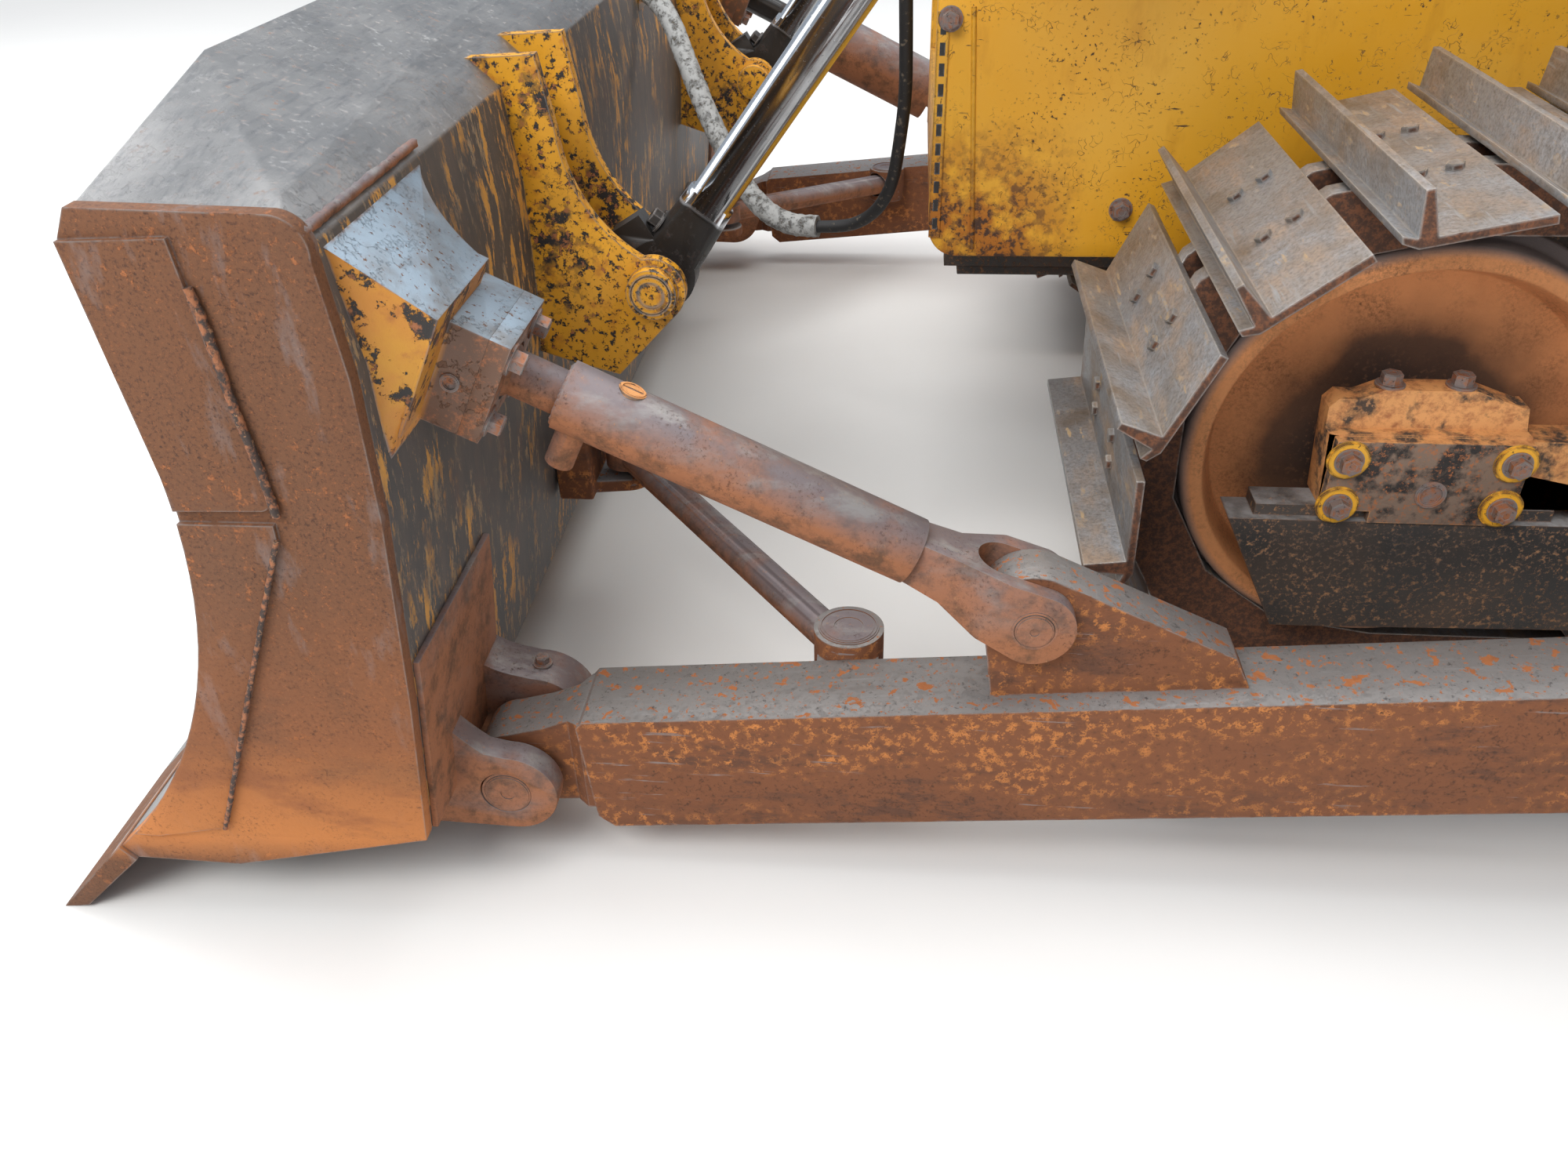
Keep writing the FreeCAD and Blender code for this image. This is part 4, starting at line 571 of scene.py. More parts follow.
def lamp_glass(tree, shader, at):
    """Pressed lamp glass with ribs."""
    ribs = add(tree, "TexWave", {"Vector": at, "Scale": per_mm(60)}, bands_direction="Y").outputs["Fac"]
    colour = coats("glass", (patches(at, 30, 0.5, 0.8), "dust"))
    wear(shader, colour, levels(0.12, (ribs, 0.2)), IOR=1.5, Transmission_Weight=0.25)
    relief(shader, (ribs, 0.8))


def brace_box_plate(tree, shader, at):
    """Welded brace boxes: a rubbed blue-grey top, sides of orange yellow enamel that is
    chipped in large islands to black scale, and a plain brown ball housing behind them."""
    top = facing(tree, (0, 0, 1), 0.35, 0.65)
    bare = patches(at, 55, 0.54, 0.555, 10.0, 0.72)
    # The ball housing ends 0.93 m up the brace from the fork's pin
    end = at_idler(FORK_PIN[0], 0, FORK_PIN[2]).dot(BRACE_AHEAD) + 0.93
    reach = add(tree, "VectorMath", {0: at, 1: BRACE_AHEAD}, operation="DOT_PRODUCT").outputs["Value"]
    housing = add(tree, "MapRange", {"Value": reach, "From Min": end + 0.005,
                                     "From Max": end - 0.005}).outputs[0]
    stain = patches(at, 90, 0.46, 0.64)
    side = coats(
        "box_enamel",
        (stain, "enamel_deep"),
        (patches(at, 30, 0.54, 0.70), "enamel_rusty"),
        (bare, "scale_black"),
        (both(bare, patches(at, 16, 0.54, 0.62)), "rust_side"),
        (housing, "rust_brown"),
        (both(housing, patches(at, 24, 0.50, 0.60, 8.0, 0.8)), "rust_side"))
    upper = coats(
        "box_steel",
        (patches(at, 90, 0.46, 0.70), "deck_steel"),
        (patches(at, 9, 0.60, 0.66), "rust_brown"))
    edge = worn_edges(tree, 5, 30, 0.40, 0.55)
    colour = coats(side, (top, upper), (edge, "rust_grey"))
    wear(shader, colour, levels(0.5, (bare, 0.72), (top, 0.45)), levels(0.0, (top, 0.6)), IOR=1.6)
    relief(shader, (bare, -0.6), (patches(at, 5, 0.2, 0.8, 4.0), 0.2))


def weld_metal(tree, shader, at):
    """Weld metal laid by hand: dark brown scale with orange rust between its ripples."""
    colour = coats("rust_deep", (patches(at, 14, 0.48, 0.60), "rust_side"),
                   (patches(at, 6, 0.58, 0.66), "rust_light"))
    wear(shader, colour, 0.75, 0.1, IOR=1.7)
    relief(shader, (patches(at, 5, 0.3, 0.7), 0.5))


def bolt_steel(tree, shader, at):
    """Forged and turned bolt heads, browned, with their corners rubbed bright."""
    colour = coats("rust_grey", (patches(at, 16, 0.44, 0.60), "rust_side"),
                   (patches(at, 7, 0.56, 0.66), "rust_dark"),
                   (worn_edges(tree, 2), "bare_steel"))
    wear(shader, colour, 0.6, 0.35, IOR=1.8)
    relief(shader, (patches(at, 6, 0.3, 0.7), 0.25))


FINISHES = {
    "enamel": scratched_yellow_enamel, "speckled": speckled_yellow_enamel, "mouldboard": mouldboard_plate,
    "plate": end_plate_rust, "beam": push_arm_rust, "tube": brace_tube_rust, "shoe": track_shoe_steel,
    "link": chain_link_iron, "idler": idler_rust, "frame": speckled_black_enamel, "block": idler_block_ochre,
    "chrome": hard_chrome, "forging": oily_black_forging, "black": black_enamel, "engine": oily_engine_iron,
    "rubber": hose_rubber, "sleeve": frayed_sleeve, "vinyl": seat_vinyl, "glass": lamp_glass,
    "box": brace_box_plate, "weld": weld_metal, "bolt": bolt_steel,
}

# Parts that keep their own shape, by finish, with the width of their rounded edges in millimetres
CASTINGS = {
    "beam": {"centre_brackets": 5, "drawbar": 5, "push_arm_left": 6, "push_arm_right": 6},
    "black": {"air_precleaner": 3, "control_levers": 0, "dashboard": 6, "floor_plate": 2, "grille": 3,
              "pedals": 3, "radiator": 0, "seat_base": 4, "work_lamps": 3},
    "block": {"idler_blocks": 6},
    "box": {"brace_boxes": 5},
    "chrome": {"lift_rod_left": 0, "lift_rod_right": 0, "tilt_rod": 0},
    "enamel": {"canopy_roof": 8, "fenders": 3, "final_drives": 6, "fuel_tank": 14, "hood": 2,
               "hydraulic_tank": 12, "lift_barrel_left": 3, "lift_barrel_right": 3, "lift_yokes": 6,
               "radiator_guard": 4, "rear_case": 8, "rops_frame": 6, "tool_box": 8},
    "engine": {"engine": 8},
    "forging": {"trunnion_balls": 0},
    "frame": {"belly_guard": 2, "main_frame": 4, "track_frames": 6},
    "idler": {"idlers": 4},
    "link": {"sprockets": 3, "track_rollers": 0},
    "mouldboard": {"blade_body": 4, "cutting_edge": 3},
    "plate": {"blade_end_plates": 5, "end_bits": 4},
    "shoe": {"track_left": 2, "track_right": 2},
    "speckled": {"lift_brackets": 4},
    "tube": {"blade_lugs": 7, "brace_fork": 6, "brace_screw": 2, "brace_sleeve": 3,
             "diagonal_brace_left": 0, "diagonal_brace_right": 0, "exhaust_stack": 2, "tilt_barrel": 3},
}


# Materials made so far. They aren't found by name, because the frame has slots of the same names
MADE = {}


def finish_named(key):
    """The material of a finish, which is made when it is first asked for."""
    if key not in MADE:
        MADE[key], tree, shader = new_finish(FINISHES[key].__name__)
        FINISHES[key](tree, shader, place(tree))
    return MADE[key]


def select_only(*pieces):
    """Nothing but these pieces is selected, and the first is active."""
    if bpy.context.mode != "OBJECT":
        bpy.ops.object.mode_set(mode="OBJECT")
    bpy.ops.object.select_all(action="DESELECT")
    for piece in pieces:
        piece.select_set(True)
    bpy.context.view_layer.objects.active = pieces[0]


def dress(piece, finish, body):
    """Gives a finished piece its material and its body."""
    piece.data.materials.clear()
    piece.data.materials.append(finish_named(finish))
    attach(piece, body)
    return piece


def applied(piece, kind, **settings):
    """Adds a modifier with its settings to the active piece and applies it."""
    change = piece.modifiers.new(kind.lower(), kind)
    for key, value in settings.items():
        setattr(change, key, value)
    bpy.ops.object.modifier_apply(modifier=change.name)


def merged(piece):
    """Opens a piece for editing with all of it selected and its doubles merged."""
    select_only(piece)
    bpy.ops.object.mode_set(mode="EDIT")
    bpy.ops.mesh.select_all(action="SELECT")
    bpy.ops.mesh.remove_doubles(threshold=0.02 * MM)


def shaded(angle):
    """Leaves edit mode and smooths the active piece up to an angle in degrees."""
    if bpy.context.mode != "OBJECT":
        bpy.ops.object.mode_set(mode="OBJECT")
    bpy.ops.object.shade_smooth_by_angle(angle=math.radians(angle))


def softened(node, width):
    """Copy of a part with its triangles merged into faces and its edges rounded."""
    piece = bpy.data.objects.new(node + "_piece", NODES[node].data.copy())
    bpy.context.scene.collection.objects.link(piece)
    merged(piece)
    bpy.ops.mesh.dissolve_limited(angle_limit=math.radians(0.4))
    bpy.ops.object.mode_set(mode="OBJECT")
    if width:
        applied(piece, "BEVEL", width=width * MM, segments=2, limit_method="ANGLE",
                angle_limit=math.radians(38))
    shaded(36)
    return piece


class CrawlerColours(bpy.types.PropertyGroup):
    """Colours of the tractor's finishes."""


COLOURS = {
    "cover_black": ("#7C6656", "Sooty cover of the idler blocks"),
    "box_enamel": ("#C47E20", "Enamel of the brace boxes"),
    "box_steel": ("#93A3B0", "Rubbed top of the brace boxes"),
    # Rust of the brace tubes, which also stands for warm light bounced from the ground
    "tube_rust": ("#9A6444", "Rust of the brace tubes"),
    "arm_dark": ("#5C3B2A", "Darker rust of the arms"),
    "arm_rust": ("#774A30", "Orange brown rust of the arms"),
    "enamel": ("#E2A01E", "Yellow enamel where it is sound"),
    "enamel_faded": ("#E6AC38", "Yellow enamel bleached by the sun"),
    "enamel_deep": ("#C98B1C", "Yellow enamel in the shade of old dirt"),
    "enamel_rusty": ("#B06A1C", "Yellow enamel stained by rust"),
    "primer": ("#4B3524", "Brown primer and scale in chips"),
    "rust_dark": ("#4A3226", "Dark rust in pores"),
    "rust_deep": ("#3A2A22", "Nearly black rust"),
    "rust_brown": ("#6A4934", "Plain brown rust"),
    "plate_brown": ("#724B32", "Brown rust of the end plates"),
    "rust_grey": ("#80706A", "Rust rubbed to grey"),
    "rust_light": ("#A87A54", "Light powdery rust"),
    "rust_orange": ("#D08446", "Orange wet rust"),
    "rust_side": ("#A0623A", "Orange rust"),
    "idler_orange": ("#E29862", "Orange dust on the idlers"),
    "bare_steel": ("#8E8A86", "Bare rubbed steel"),
    "edge_grey": ("#85807C", "Rubbed edges"),
    # Grey of worn top faces; on the tubes it is part of a painted sky reflection
    "worn_top_and_sky_reflection": ("#8F8B88", "Worn top faces"),
    "top_dark": ("#514C4B", "Darker top faces"),
    # Painted sky reflection on the upper faces of the tubes
    "tube_sky_reflection": ("#7A7071", "Rubbed tube"),
    "scale_black": ("#2B2623", "Black mill scale"),
    "scale_brown": ("#4C3D32", "Brown mill scale"),
    "streak_tan": ("#97784C", "Tan streaks"),
    "deck_steel": ("#787878", "Polished deck"),
    "deck_pale": ("#959391", "Bright deck"),
    "deck_dark": ("#5E6064", "Darker deck"),
    "shoe_grey": ("#9A9B9D", "Shoe steel"),
    "shoe_brown": ("#877868", "Shoe steel with mud"),
    "shoe_mud": ("#9A8572", "Dried mud"),
    "shoe_dark": ("#5E564F", "Pores of the shoes"),
    "soil_tan": ("#A58B69", "Tan soil"),
    "grouser_bright": ("#B7B3AD", "Polished grouser edges"),
    "black_enamel": ("#34302D", "Black enamel"),
    "ochre": ("#D8985C", "Ochre enamel of the idler blocks"),
    "chrome": ("#C9CCD0", "Chromed rod"),
    "chrome_oiled": ("#A9ABAE", "Chromed rod under oil"),
    "oil_black": ("#211E1C", "Black oil"),
    "engine": ("#6E6A60", "Engine enamel"),
    "rubber": ("#1E1D1D", "Hose rubber"),
    "sleeve": ("#B9B9B6", "Bleached sleeve"),
    "sleeve_dark": ("#7C7B78", "Soiled sleeve"),
    "vinyl": ("#1F1E1E", "Seat vinyl"),
    "glass": ("#C8CDD0", "Lamp glass"),
    "dust": ("#A58F6E", "Dry dust"),
    "dust_dark": ("#5F5548", "Dust on black"),
    "floor": ("#E9E7E3", "Studio floor"),
}
for colour_name, (colour_hex, colour_words) in COLOURS.items():
    CrawlerColours.__annotations__[colour_name] = bpy.props.FloatVectorProperty(
        name=colour_name.replace("_", " ").capitalize(), description=colour_words, subtype="COLOR", size=4,
        min=0.0, max=1.0, default=hex_colour(colour_hex))


class CrawlerSizes(bpy.types.PropertyGroup):
    """Sizes that a user would change."""

    lens: bpy.props.FloatProperty(name="Lens", description="Focal length on a 36 mm wide sensor",
                                  default=28.29, min=1.0, unit="CAMERA")
    bolt_flats: bpy.props.FloatProperty(name="Bolt head", description="Width across the flats of a bolt head",
                                        default=0.030, min=0.005, unit="LENGTH")


class CRAWLER_OT_finishes(bpy.types.Operator):
    """Makes every finish of the tractor"""

    bl_idname = "crawler.finishes"
    bl_label = "Finishes"

    def execute(self, context):
        for key in FINISHES:
            finish_named(key)
        return {"FINISHED"}


class CRAWLER_OT_castings(bpy.types.Operator):
    """Rounds the edges of the frame's parts and gives them their finishes"""

    bl_idname = "crawler.castings"
    bl_label = "Castings"

    def execute(self, context):
        for finish, widths in CASTINGS.items():
            for node, width in widths.items():
                if node not in NODES:
                    raise ValueError("the frame has no part named " + node)
                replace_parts(dress(softened(node, width), finish, BODY_OF[node]), node)
        return {"FINISHED"}


# Small pieces


def drawn_line(name, route, cuts=12):
    """Curve object through points of the frame, as a NURBS line."""
    data = bpy.data.curves.new(name, "CURVE")
    data.dimensions = "3D"
    line = data.splines.new("NURBS")
    line.points.add(len(route) - 1)
    for point, where in zip(line.points, route):
        point.co = (*where, 1.0)
    line.order_u = 3
    line.use_endpoint_u = True
    line.resolution_u = cuts
    curve = bpy.data.objects.new(name, data)
    bpy.context.scene.collection.objects.link(curve)
    return curve


def thickened(curve, radius, rings):
    """The curve as a closed round tube."""
    curve.data.bevel_depth = radius
    curve.data.bevel_resolution = rings
    curve.data.use_fill_caps = True
    select_only(curve)
    bpy.ops.object.convert(target="MESH")
    piece = bpy.context.object
    merged(piece)
    bpy.ops.mesh.normals_make_consistent(inside=False)
    shaded(50)
    return piece


def roughened(piece, lump, height):
    """Pushes a piece's surface in and out in lumps, with their size and height in millimetres."""
    clouds = bpy.data.textures.new(piece.name + "_lumps", "CLOUDS")
    clouds.noise_scale = lump * MM
    select_only(piece)
    applied(piece, "DISPLACE", texture=clouds, strength=height * MM)
    return piece


def join_as(name, pieces):
    """One object of several, under a new name."""
    select_only(*pieces)
    bpy.ops.object.join()
    made = bpy.context.object
    made.name = made.data.name = name
    return made


def turn_to(point, way):
    """Moves what stands at the origin to a point, with its top looking a given way."""
    return Matrix.Translation(point) @ Vector(way).to_track_quat("Z", "Y").to_matrix().to_4x4()


def set_out(name, master, places):
    """Copies of a small piece, each at its point and looking its own way, joined into one."""
    copies = []
    for point, way in places:
        copy = bpy.data.objects.new(name, master.data.copy())
        copy.data.transform(turn_to(point, way))
        bpy.context.scene.collection.objects.link(copy)
        copies.append(copy)
    return join_as(name, copies)


def discard(*masters):
    """Takes away the pieces that the copies were made from."""
    for master in masters:
        bpy.data.objects.remove(master)


def turned(name, radius, sides, height, steps):
    """Round piece that stands on its point: after its first height, each step insets the top face
    and then raises or sinks it, both in millimetres."""
    bpy.ops.object.select_all(action="DESELECT")
    bpy.ops.mesh.primitive_cylinder_add(vertices=sides, radius=radius * MM, depth=height * MM,
                                        location=(0, 0, height / 2 * MM))
    piece = bpy.context.object
    piece.name = name
    bpy.ops.object.transform_apply(location=True, rotation=True, scale=True)
    bpy.ops.object.mode_set(mode="EDIT")
    bpy.ops.mesh.select_mode(type="FACE")
    for inset, rise in steps:
        bpy.ops.mesh.select_all(action="DESELECT")
        mesh = bmesh.from_edit_mesh(piece.data)
        caps = [face for face in mesh.faces if face.normal.z > 0.9]
        cap = min(caps, key=lambda face: face.calc_center_median().xy.length + face.calc_area())
        cap.select_set(True)
        bmesh.update_edit_mesh(piece.data)
        bpy.ops.mesh.inset(thickness=inset * MM)
        if rise:
            bpy.ops.mesh.extrude_region_move(TRANSFORM_OT_translate={"value": (0, 0, rise * MM)})
    shaded(30)
    return piece


def hex_bolt(flats):
    """Hexagon head, chamfered, with a dimple on top and a round washer under it."""
    washer_height = 3
    head = turned("bolt_head", flats / math.sqrt(3), 6, flats * 0.6,
                  [(flats * 0.07, 1.2), (flats * 0.22, -1.0)])
    ring = turned("bolt_washer", flats * 0.80, 20, washer_height, [(1.2, 0.8)])
    head.data.transform(Matrix.Translation((0, 0, washer_height * MM)))
    return join_as("bolt", [ring, head])


def small_plate(at, size, rounding, segments):
    """Flat plate with rounded edges, its size in millimetres."""
    bpy.ops.object.select_all(action="DESELECT")
    bpy.ops.mesh.primitive_cube_add(size=1, location=at)
    plate = bpy.context.object
    plate.scale = [length * MM for length in size]
    bpy.ops.object.transform_apply(location=True, rotation=True, scale=True)
    applied(plate, "BEVEL", width=rounding * MM, segments=segments)
    return plate


def touching(node, start, way):
    """Where a ray from start meets a part of the frame, and the way its surface looks there."""
    mesh = NODES[node].data
    faces = [tuple(face.vertices) for face in mesh.polygons]
    skin = BVHTree.FromPolygons([vertex.co for vertex in mesh.vertices], faces)
    point, normal, _, _ = skin.ray_cast(Vector(start), Vector(way).normalized())
    if point is None:
        raise ValueError("nothing of " + node + " is in front of " + str(tuple(start)))
    return point, normal


def beside(node, side, x, y, z):
    """Where a ray that comes straight in from one side meets a part."""
    return touching(node, at_idler(x, side * y, z), (0, -side, 0))


def under(node, side, x, y, z):
    """Where a ray that drops on one side of the tractor meets a part."""
    return touching(node, at_idler(x, side * y, z), (0, 0, -1))


# Hoses: radius in millimetres, real length in metres, the bodies that each runs between, and its
# route in millimetres ahead of the idlers, beside the middle plane and above the ground
HOSES = {
    "nose_hose": (14, 0.933, (), [
        (893, 420, 1490), (890, 411, 1360), (886, 393, 1235), (882, 368, 1115), (880, 340, 1005),
        (890, 322, 909), (901, 304, 824), (927, 277, 759), (966, 253, 717), (1018, 232, 694),
        (1075, 216, 690)]),
    "sleeve_lower": (25, 0.356, ("tractor", "trunnion_balls"), [
        (1075, 216, 690), (1132, 200, 686), (1188, 178, 702), (1243, 138, 740), (1289, 84, 793),
        (1320, 42, 838)]),
    "sleeve_upper": (25, 0.453, ("trunnion_balls", "blade"), [
        (1320, 42, 838), (1351, 0, 883), (1392, -64, 950), (1430, -126, 1018), (1462, -181, 1070),
        (1494, -219, 1101), (1524, -243, 1120)]),
}


class CRAWLER_OT_hoses(bpy.types.Operator):
    """Draws the oil hose beside the nose and the frayed sleeve that carries it to the blade"""

    bl_idname = "crawler.hoses"
    bl_label = "Hoses"

    def execute(self, context):
        for name, (radius, length, bends, points) in HOSES.items():
            curve = drawn_line(name + "_run", [at_idler(*point) for point in points])
            line = bpy.data.meshes.new_from_object(curve)
            hose = thickened(curve, radius * MM, 6)
            hose.data.materials.clear()
            hose.data.materials.append(finish_named("sleeve" if bends else "rubber"))
            if bends:
                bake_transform(roughened(hose, 9, 7))
            else:
                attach(hose, BODY_OF[name])
            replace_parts(hose, name)
        return {"FINISHED"}


class CRAWLER_OT_bolts(bpy.types.Operator):
    """Sets out the bolts, pads and plugs"""

    bl_idname = "crawler.bolts"
    bl_label = "Bolts"

    def execute(self, context):
        flats = context.scene.crawler_sizes.bolt_flats / MM
        large, small = hex_bolt(flats), hex_bolt(flats * 0.72)
        pad = turned("cover_pad", 35, 32, 3, [(3, 3)])
        plug = turned("cover_plug", 25, 28, 3, [(2, 2), (5, -4)])
        sleeve_plug = turned("sleeve_plug", 21, 28, 5, [(2, 1.5), (3, -1.5)])
        plough_head = turned("plough_head", 13, 20, 1.5, [(2, 1), (4, -1.5)])
        box_plug = turned("box_plug", 14, 24, 2, [(1.5, 1.5), (3, -2.5)])

        # Covers of the idler blocks: a bolt on a round yellow pad at each corner, a plug between them
        corners = [(side, x, 1230, z) for x in (-132, 132) for z in (543, 628) for side in SIDES]
        pads = [beside("idler_blocks", *corner) for corner in corners]
        pad_height = 5 * MM
        bolts = [(point + way * pad_height, way) for point, way in pads]
        plugs = []
        for side in SIDES:
            plugs.append(beside("idler_blocks", side, -14, 1230, 566))
            bolts += [under("idler_blocks", side, x, 1116, 800) for x in (-40, 72)]
        dress(set_out("cover_pads", pad, pads), "enamel", "tractor")
        dress(set_out("cover_plugs", plug, plugs), "bolt", "tractor")
        # Nose: two bolts near the front edge and over the track on each side
        for side in SIDES:
            bolts += [beside("radiator_guard", side, x, 560, z) for x, z in ((798, 1178), (432, 813))]
        dress(set_out("tractor_bolts", large, bolts), "bolt", "tractor")

        # Four bolts through the cap of each brace ball
        caps = []
        for side in SIDES:
            foot = at_idler(FORK_PIN[0], side * FORK_PIN[1], FORK_PIN[2])
            for across in (-62, 62):
                for rise in (-52, 52):
                    start = foot + BRACE_AHEAD * 640 * MM + BRACE_UPWARD * rise * MM
                    caps.append(touching("brace_boxes", start + Vector((0, across * MM, 0)), BRACE_AHEAD))
        dress(set_out("cap_bolts", large, caps), "bolt", "blade")

        # Cutting edge: 17 plough bolts 158 mm apart, flush in front, with two rows of nuts behind
        front = CAD_BOX[1].x
        columns = [step * 0.158 for step in range(-8, 9)]
        nuts = [touching("cutting_edge", (front - 1.2, y, z), (1, 0, 0))
                for y in columns for z in (0.055, 0.105)]
        heads = [touching("cutting_edge", (front + 0.2, y, 0.085), (-1, 0, 0)) for y in columns]
        dress(set_out("plough_heads", plough_head, heads), "bolt", "blade")

        # Lower lugs, brace boxes and the straps of the lift rods' ends
        for side, rod in zip(SIDES, ("lift_rod_left", "lift_rod_right")):
            nuts.append(under("blade_lugs", side, 1485, 1381, 420))
            box_side = beside("brace_boxes", side, 1477, 1700, 924)
            dress(set_out("box_plug", box_plug, [box_side]), "bolt", "blade")
            over_rod = at_idler(1338, side * LIFT_PIN[1], 911) + Vector((0.16, 0, 0.12))
            strap = touching(rod, over_rod, (-0.8, 0, -0.6))
            dress(set_out(rod + "_bolt", large, [strap]), "forging", BODY_OF[rod])
        spot = at_idler(*FORK_PIN) + BRACE_AHEAD * 680 * MM + BRACE_UPWARD * 200 * MM
        point, way = touching("brace_sleeve", spot, -BRACE_UPWARD)
        sunk = 5 * MM
        grease_plug = set_out("sleeve_plug", sleeve_plug, [(point - way * sunk, way)])
        dress(grease_plug, "block", BODY_OF["brace_sleeve"])
        dress(set_out("edge_nuts", small, nuts), "bolt", "blade")
        discard(large, small, pad, plug, box_plug, sleeve_plug, plough_head)
        return {"FINISHED"}


class CRAWLER_OT_pins(bpy.types.Operator):
    """Makes the visible pin ends, each in its dark groove"""

    bl_idname = "crawler.pins"
    bl_label = "Pins"

    def execute(self, context):
        fork_pin = turned("pin_end", 34, 48, 1.2, [(1.5, 0), (2.2, -6), (1.0, 7), (3, 1.5), (19, -1.5)])
        lug_pin = turned("lug_pin_end", 44, 48, 1.2, [(1.5, 0), (2.6, -8), (1.0, 9), (3, 1.5), (24, -1.5)])
        lift_pin = turned("lift_pin_end", 40, 48, 1.2, [(1.5, 0), (2.2, -5), (1.5, 6), (10, -2), (4, 1)])
        seat_cap = turned("seat_cap", 52, 48, 2, [(3, 1.5), (2, -2), (4, 1), (18, -1.5)])
        groups = {}
        for side, arm, brace in ((1, "push_arm_left", "brace_fork"), (-1, "push_arm_right", "tilt_barrel")):
            fork_end = beside(brace, side, FORK_PIN[0], 1700, FORK_PIN[2])
            lift_end = beside("lift_brackets", side, LIFT_PIN[0], 960, LIFT_PIN[2])
            for body, finish, master, end in (
                    (BODY_OF[brace], "tube", fork_pin, fork_end),
                    ("blade", "tube", lug_pin, beside("blade_lugs", side, 1502, 1750, 189)),
                    ("blade", "speckled", lift_pin, lift_end),
                    (BODY_OF[arm], "tube", seat_cap, under(arm, side, 945, 1357, 520))):
                groups.setdefault((body, finish), []).append(set_out("pin_end", master, [end]))
        for (body, finish), ends in groups.items():
            dress(join_as("pin_ends_" + body + "_" + finish, ends), finish, body)
        discard(fork_pin, lug_pin, lift_pin, seat_cap)
        return {"FINISHED"}


class CRAWLER_OT_nose_edge(bpy.types.Operator):
    """Makes the nose's front strips, with a row of slots behind each edge"""

    bl_idname = "crawler.nose_edge"
    bl_label = "Nose edges"

    def execute(self, context):
        strips, slots = [], []
        for side in SIDES:
            strips.append(small_plate(at_idler(811, side * 468, 972), (24, 4, 440), 1.6, 3))
            for step in range(11):
                # Each slot is a thin dark plate: painted shade where the opening is
                slots.append(small_plate(at_idler(811, side * 470, 782 + 38 * step), (11, 1.2, 24), 0.5, 2))
        dress(join_as("nose_strips", strips), "enamel", "tractor")
        # Dark plates in the black forging finish, as painted shade in the slots
        dress(join_as("nose_slot_shades", slots), "forging", "tractor")
        return {"FINISHED"}


# Weld beads of the blade's left side, which the right side has too: finish, radius in millimetres
# and places
BLADE_WELDS = [
    ("weld", 6, [(1704, 1735, 1118), (1696, 1735, 1060), (1694, 1735, 973), (1682, 1735, 874),
                 (1680, 1735, 805)]),
    ("weld", 4, [(1690, 1735, 768), (1770, 1735, 580), (1860, 1735, 368), (1925, 1735, 213)]),
    ("tube", 7, [(1560, 1724, 1176), (1560, 1333, 1176)]),
    ("mouldboard", 3, [(1546, 1273, 1023), (1546, 405, 1035)]),
]
NOSE_WELD = [(755, 467, 1199), (742, 467, 960), (730, 467, 728)]


class CRAWLER_OT_welds(bpy.types.Operator):
    """Lays the weld beads of the blade and of the nose"""

    bl_idname = "crawler.welds"
    bl_label = "Welds"

    def execute(self, context):
        groups = {}
        for finish, radius, points in BLADE_WELDS:
            for side in SIDES:
                run = [at_idler(x, side * y, z) for x, y, z in points]
                # Cuts about 4 mm apart, for the ripples
                cuts = max(2, int(sum((b - a).length for a, b in zip(run, run[1:])) / (4 * MM) / len(run)))
                bead = thickened(drawn_line("weld_run", run, cuts), radius * MM, 3)
                groups.setdefault(("blade", finish), []).append(roughened(bead, 7, radius * 0.9))
        # Mouth of the brace's sleeve
        bpy.ops.mesh.primitive_torus_add(major_radius=43 * MM, minor_radius=4 * MM, major_segments=96,
                                         minor_segments=10)
        ring = bpy.context.object
        ring.data.transform(turn_to(at_idler(*FORK_PIN) + BRACE_AHEAD * 768 * MM, BRACE_AHEAD))
        groups.setdefault((BODY_OF["brace_sleeve"], "tube"), []).append(roughened(ring, 7, 5))
        for side in SIDES:
            run = [at_idler(x, side * y, z) for x, y, z in NOSE_WELD]
            bead = thickened(drawn_line("nose_bead", run, 20), 5 * MM, 4)
            groups.setdefault(("tractor", "enamel"), []).append(bead)
        for (body, finish), beads in groups.items():
            dress(join_as("beads_" + body + "_" + finish, beads), finish, body)
        return {"FINISHED"}


# Padded parts: rounding and greatest bulge in millimetres, and sewn channels along them, in metres
# beside the middle plane
PADDED = {
    "seat_cushion": (26, 14, (-0.12, 0.12)),
    "seat_backrest": (26, 14, (-0.12, 0.12)),
    "armrests": (10, 4, ()),
}


class CRAWLER_OT_pads(bpy.types.Operator):
    """Stuffs the seat's cushion, backrest and armrests"""

    bl_idname = "crawler.pads"
    bl_label = "Pads"

    def execute(self, context):
        for node, (edge, cap, channels) in PADDED.items():
            piece = dress(stuffed(node, edge, cap, channels), "vinyl", BODY_OF[node])
            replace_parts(piece, node)
        return {"FINISHED"}


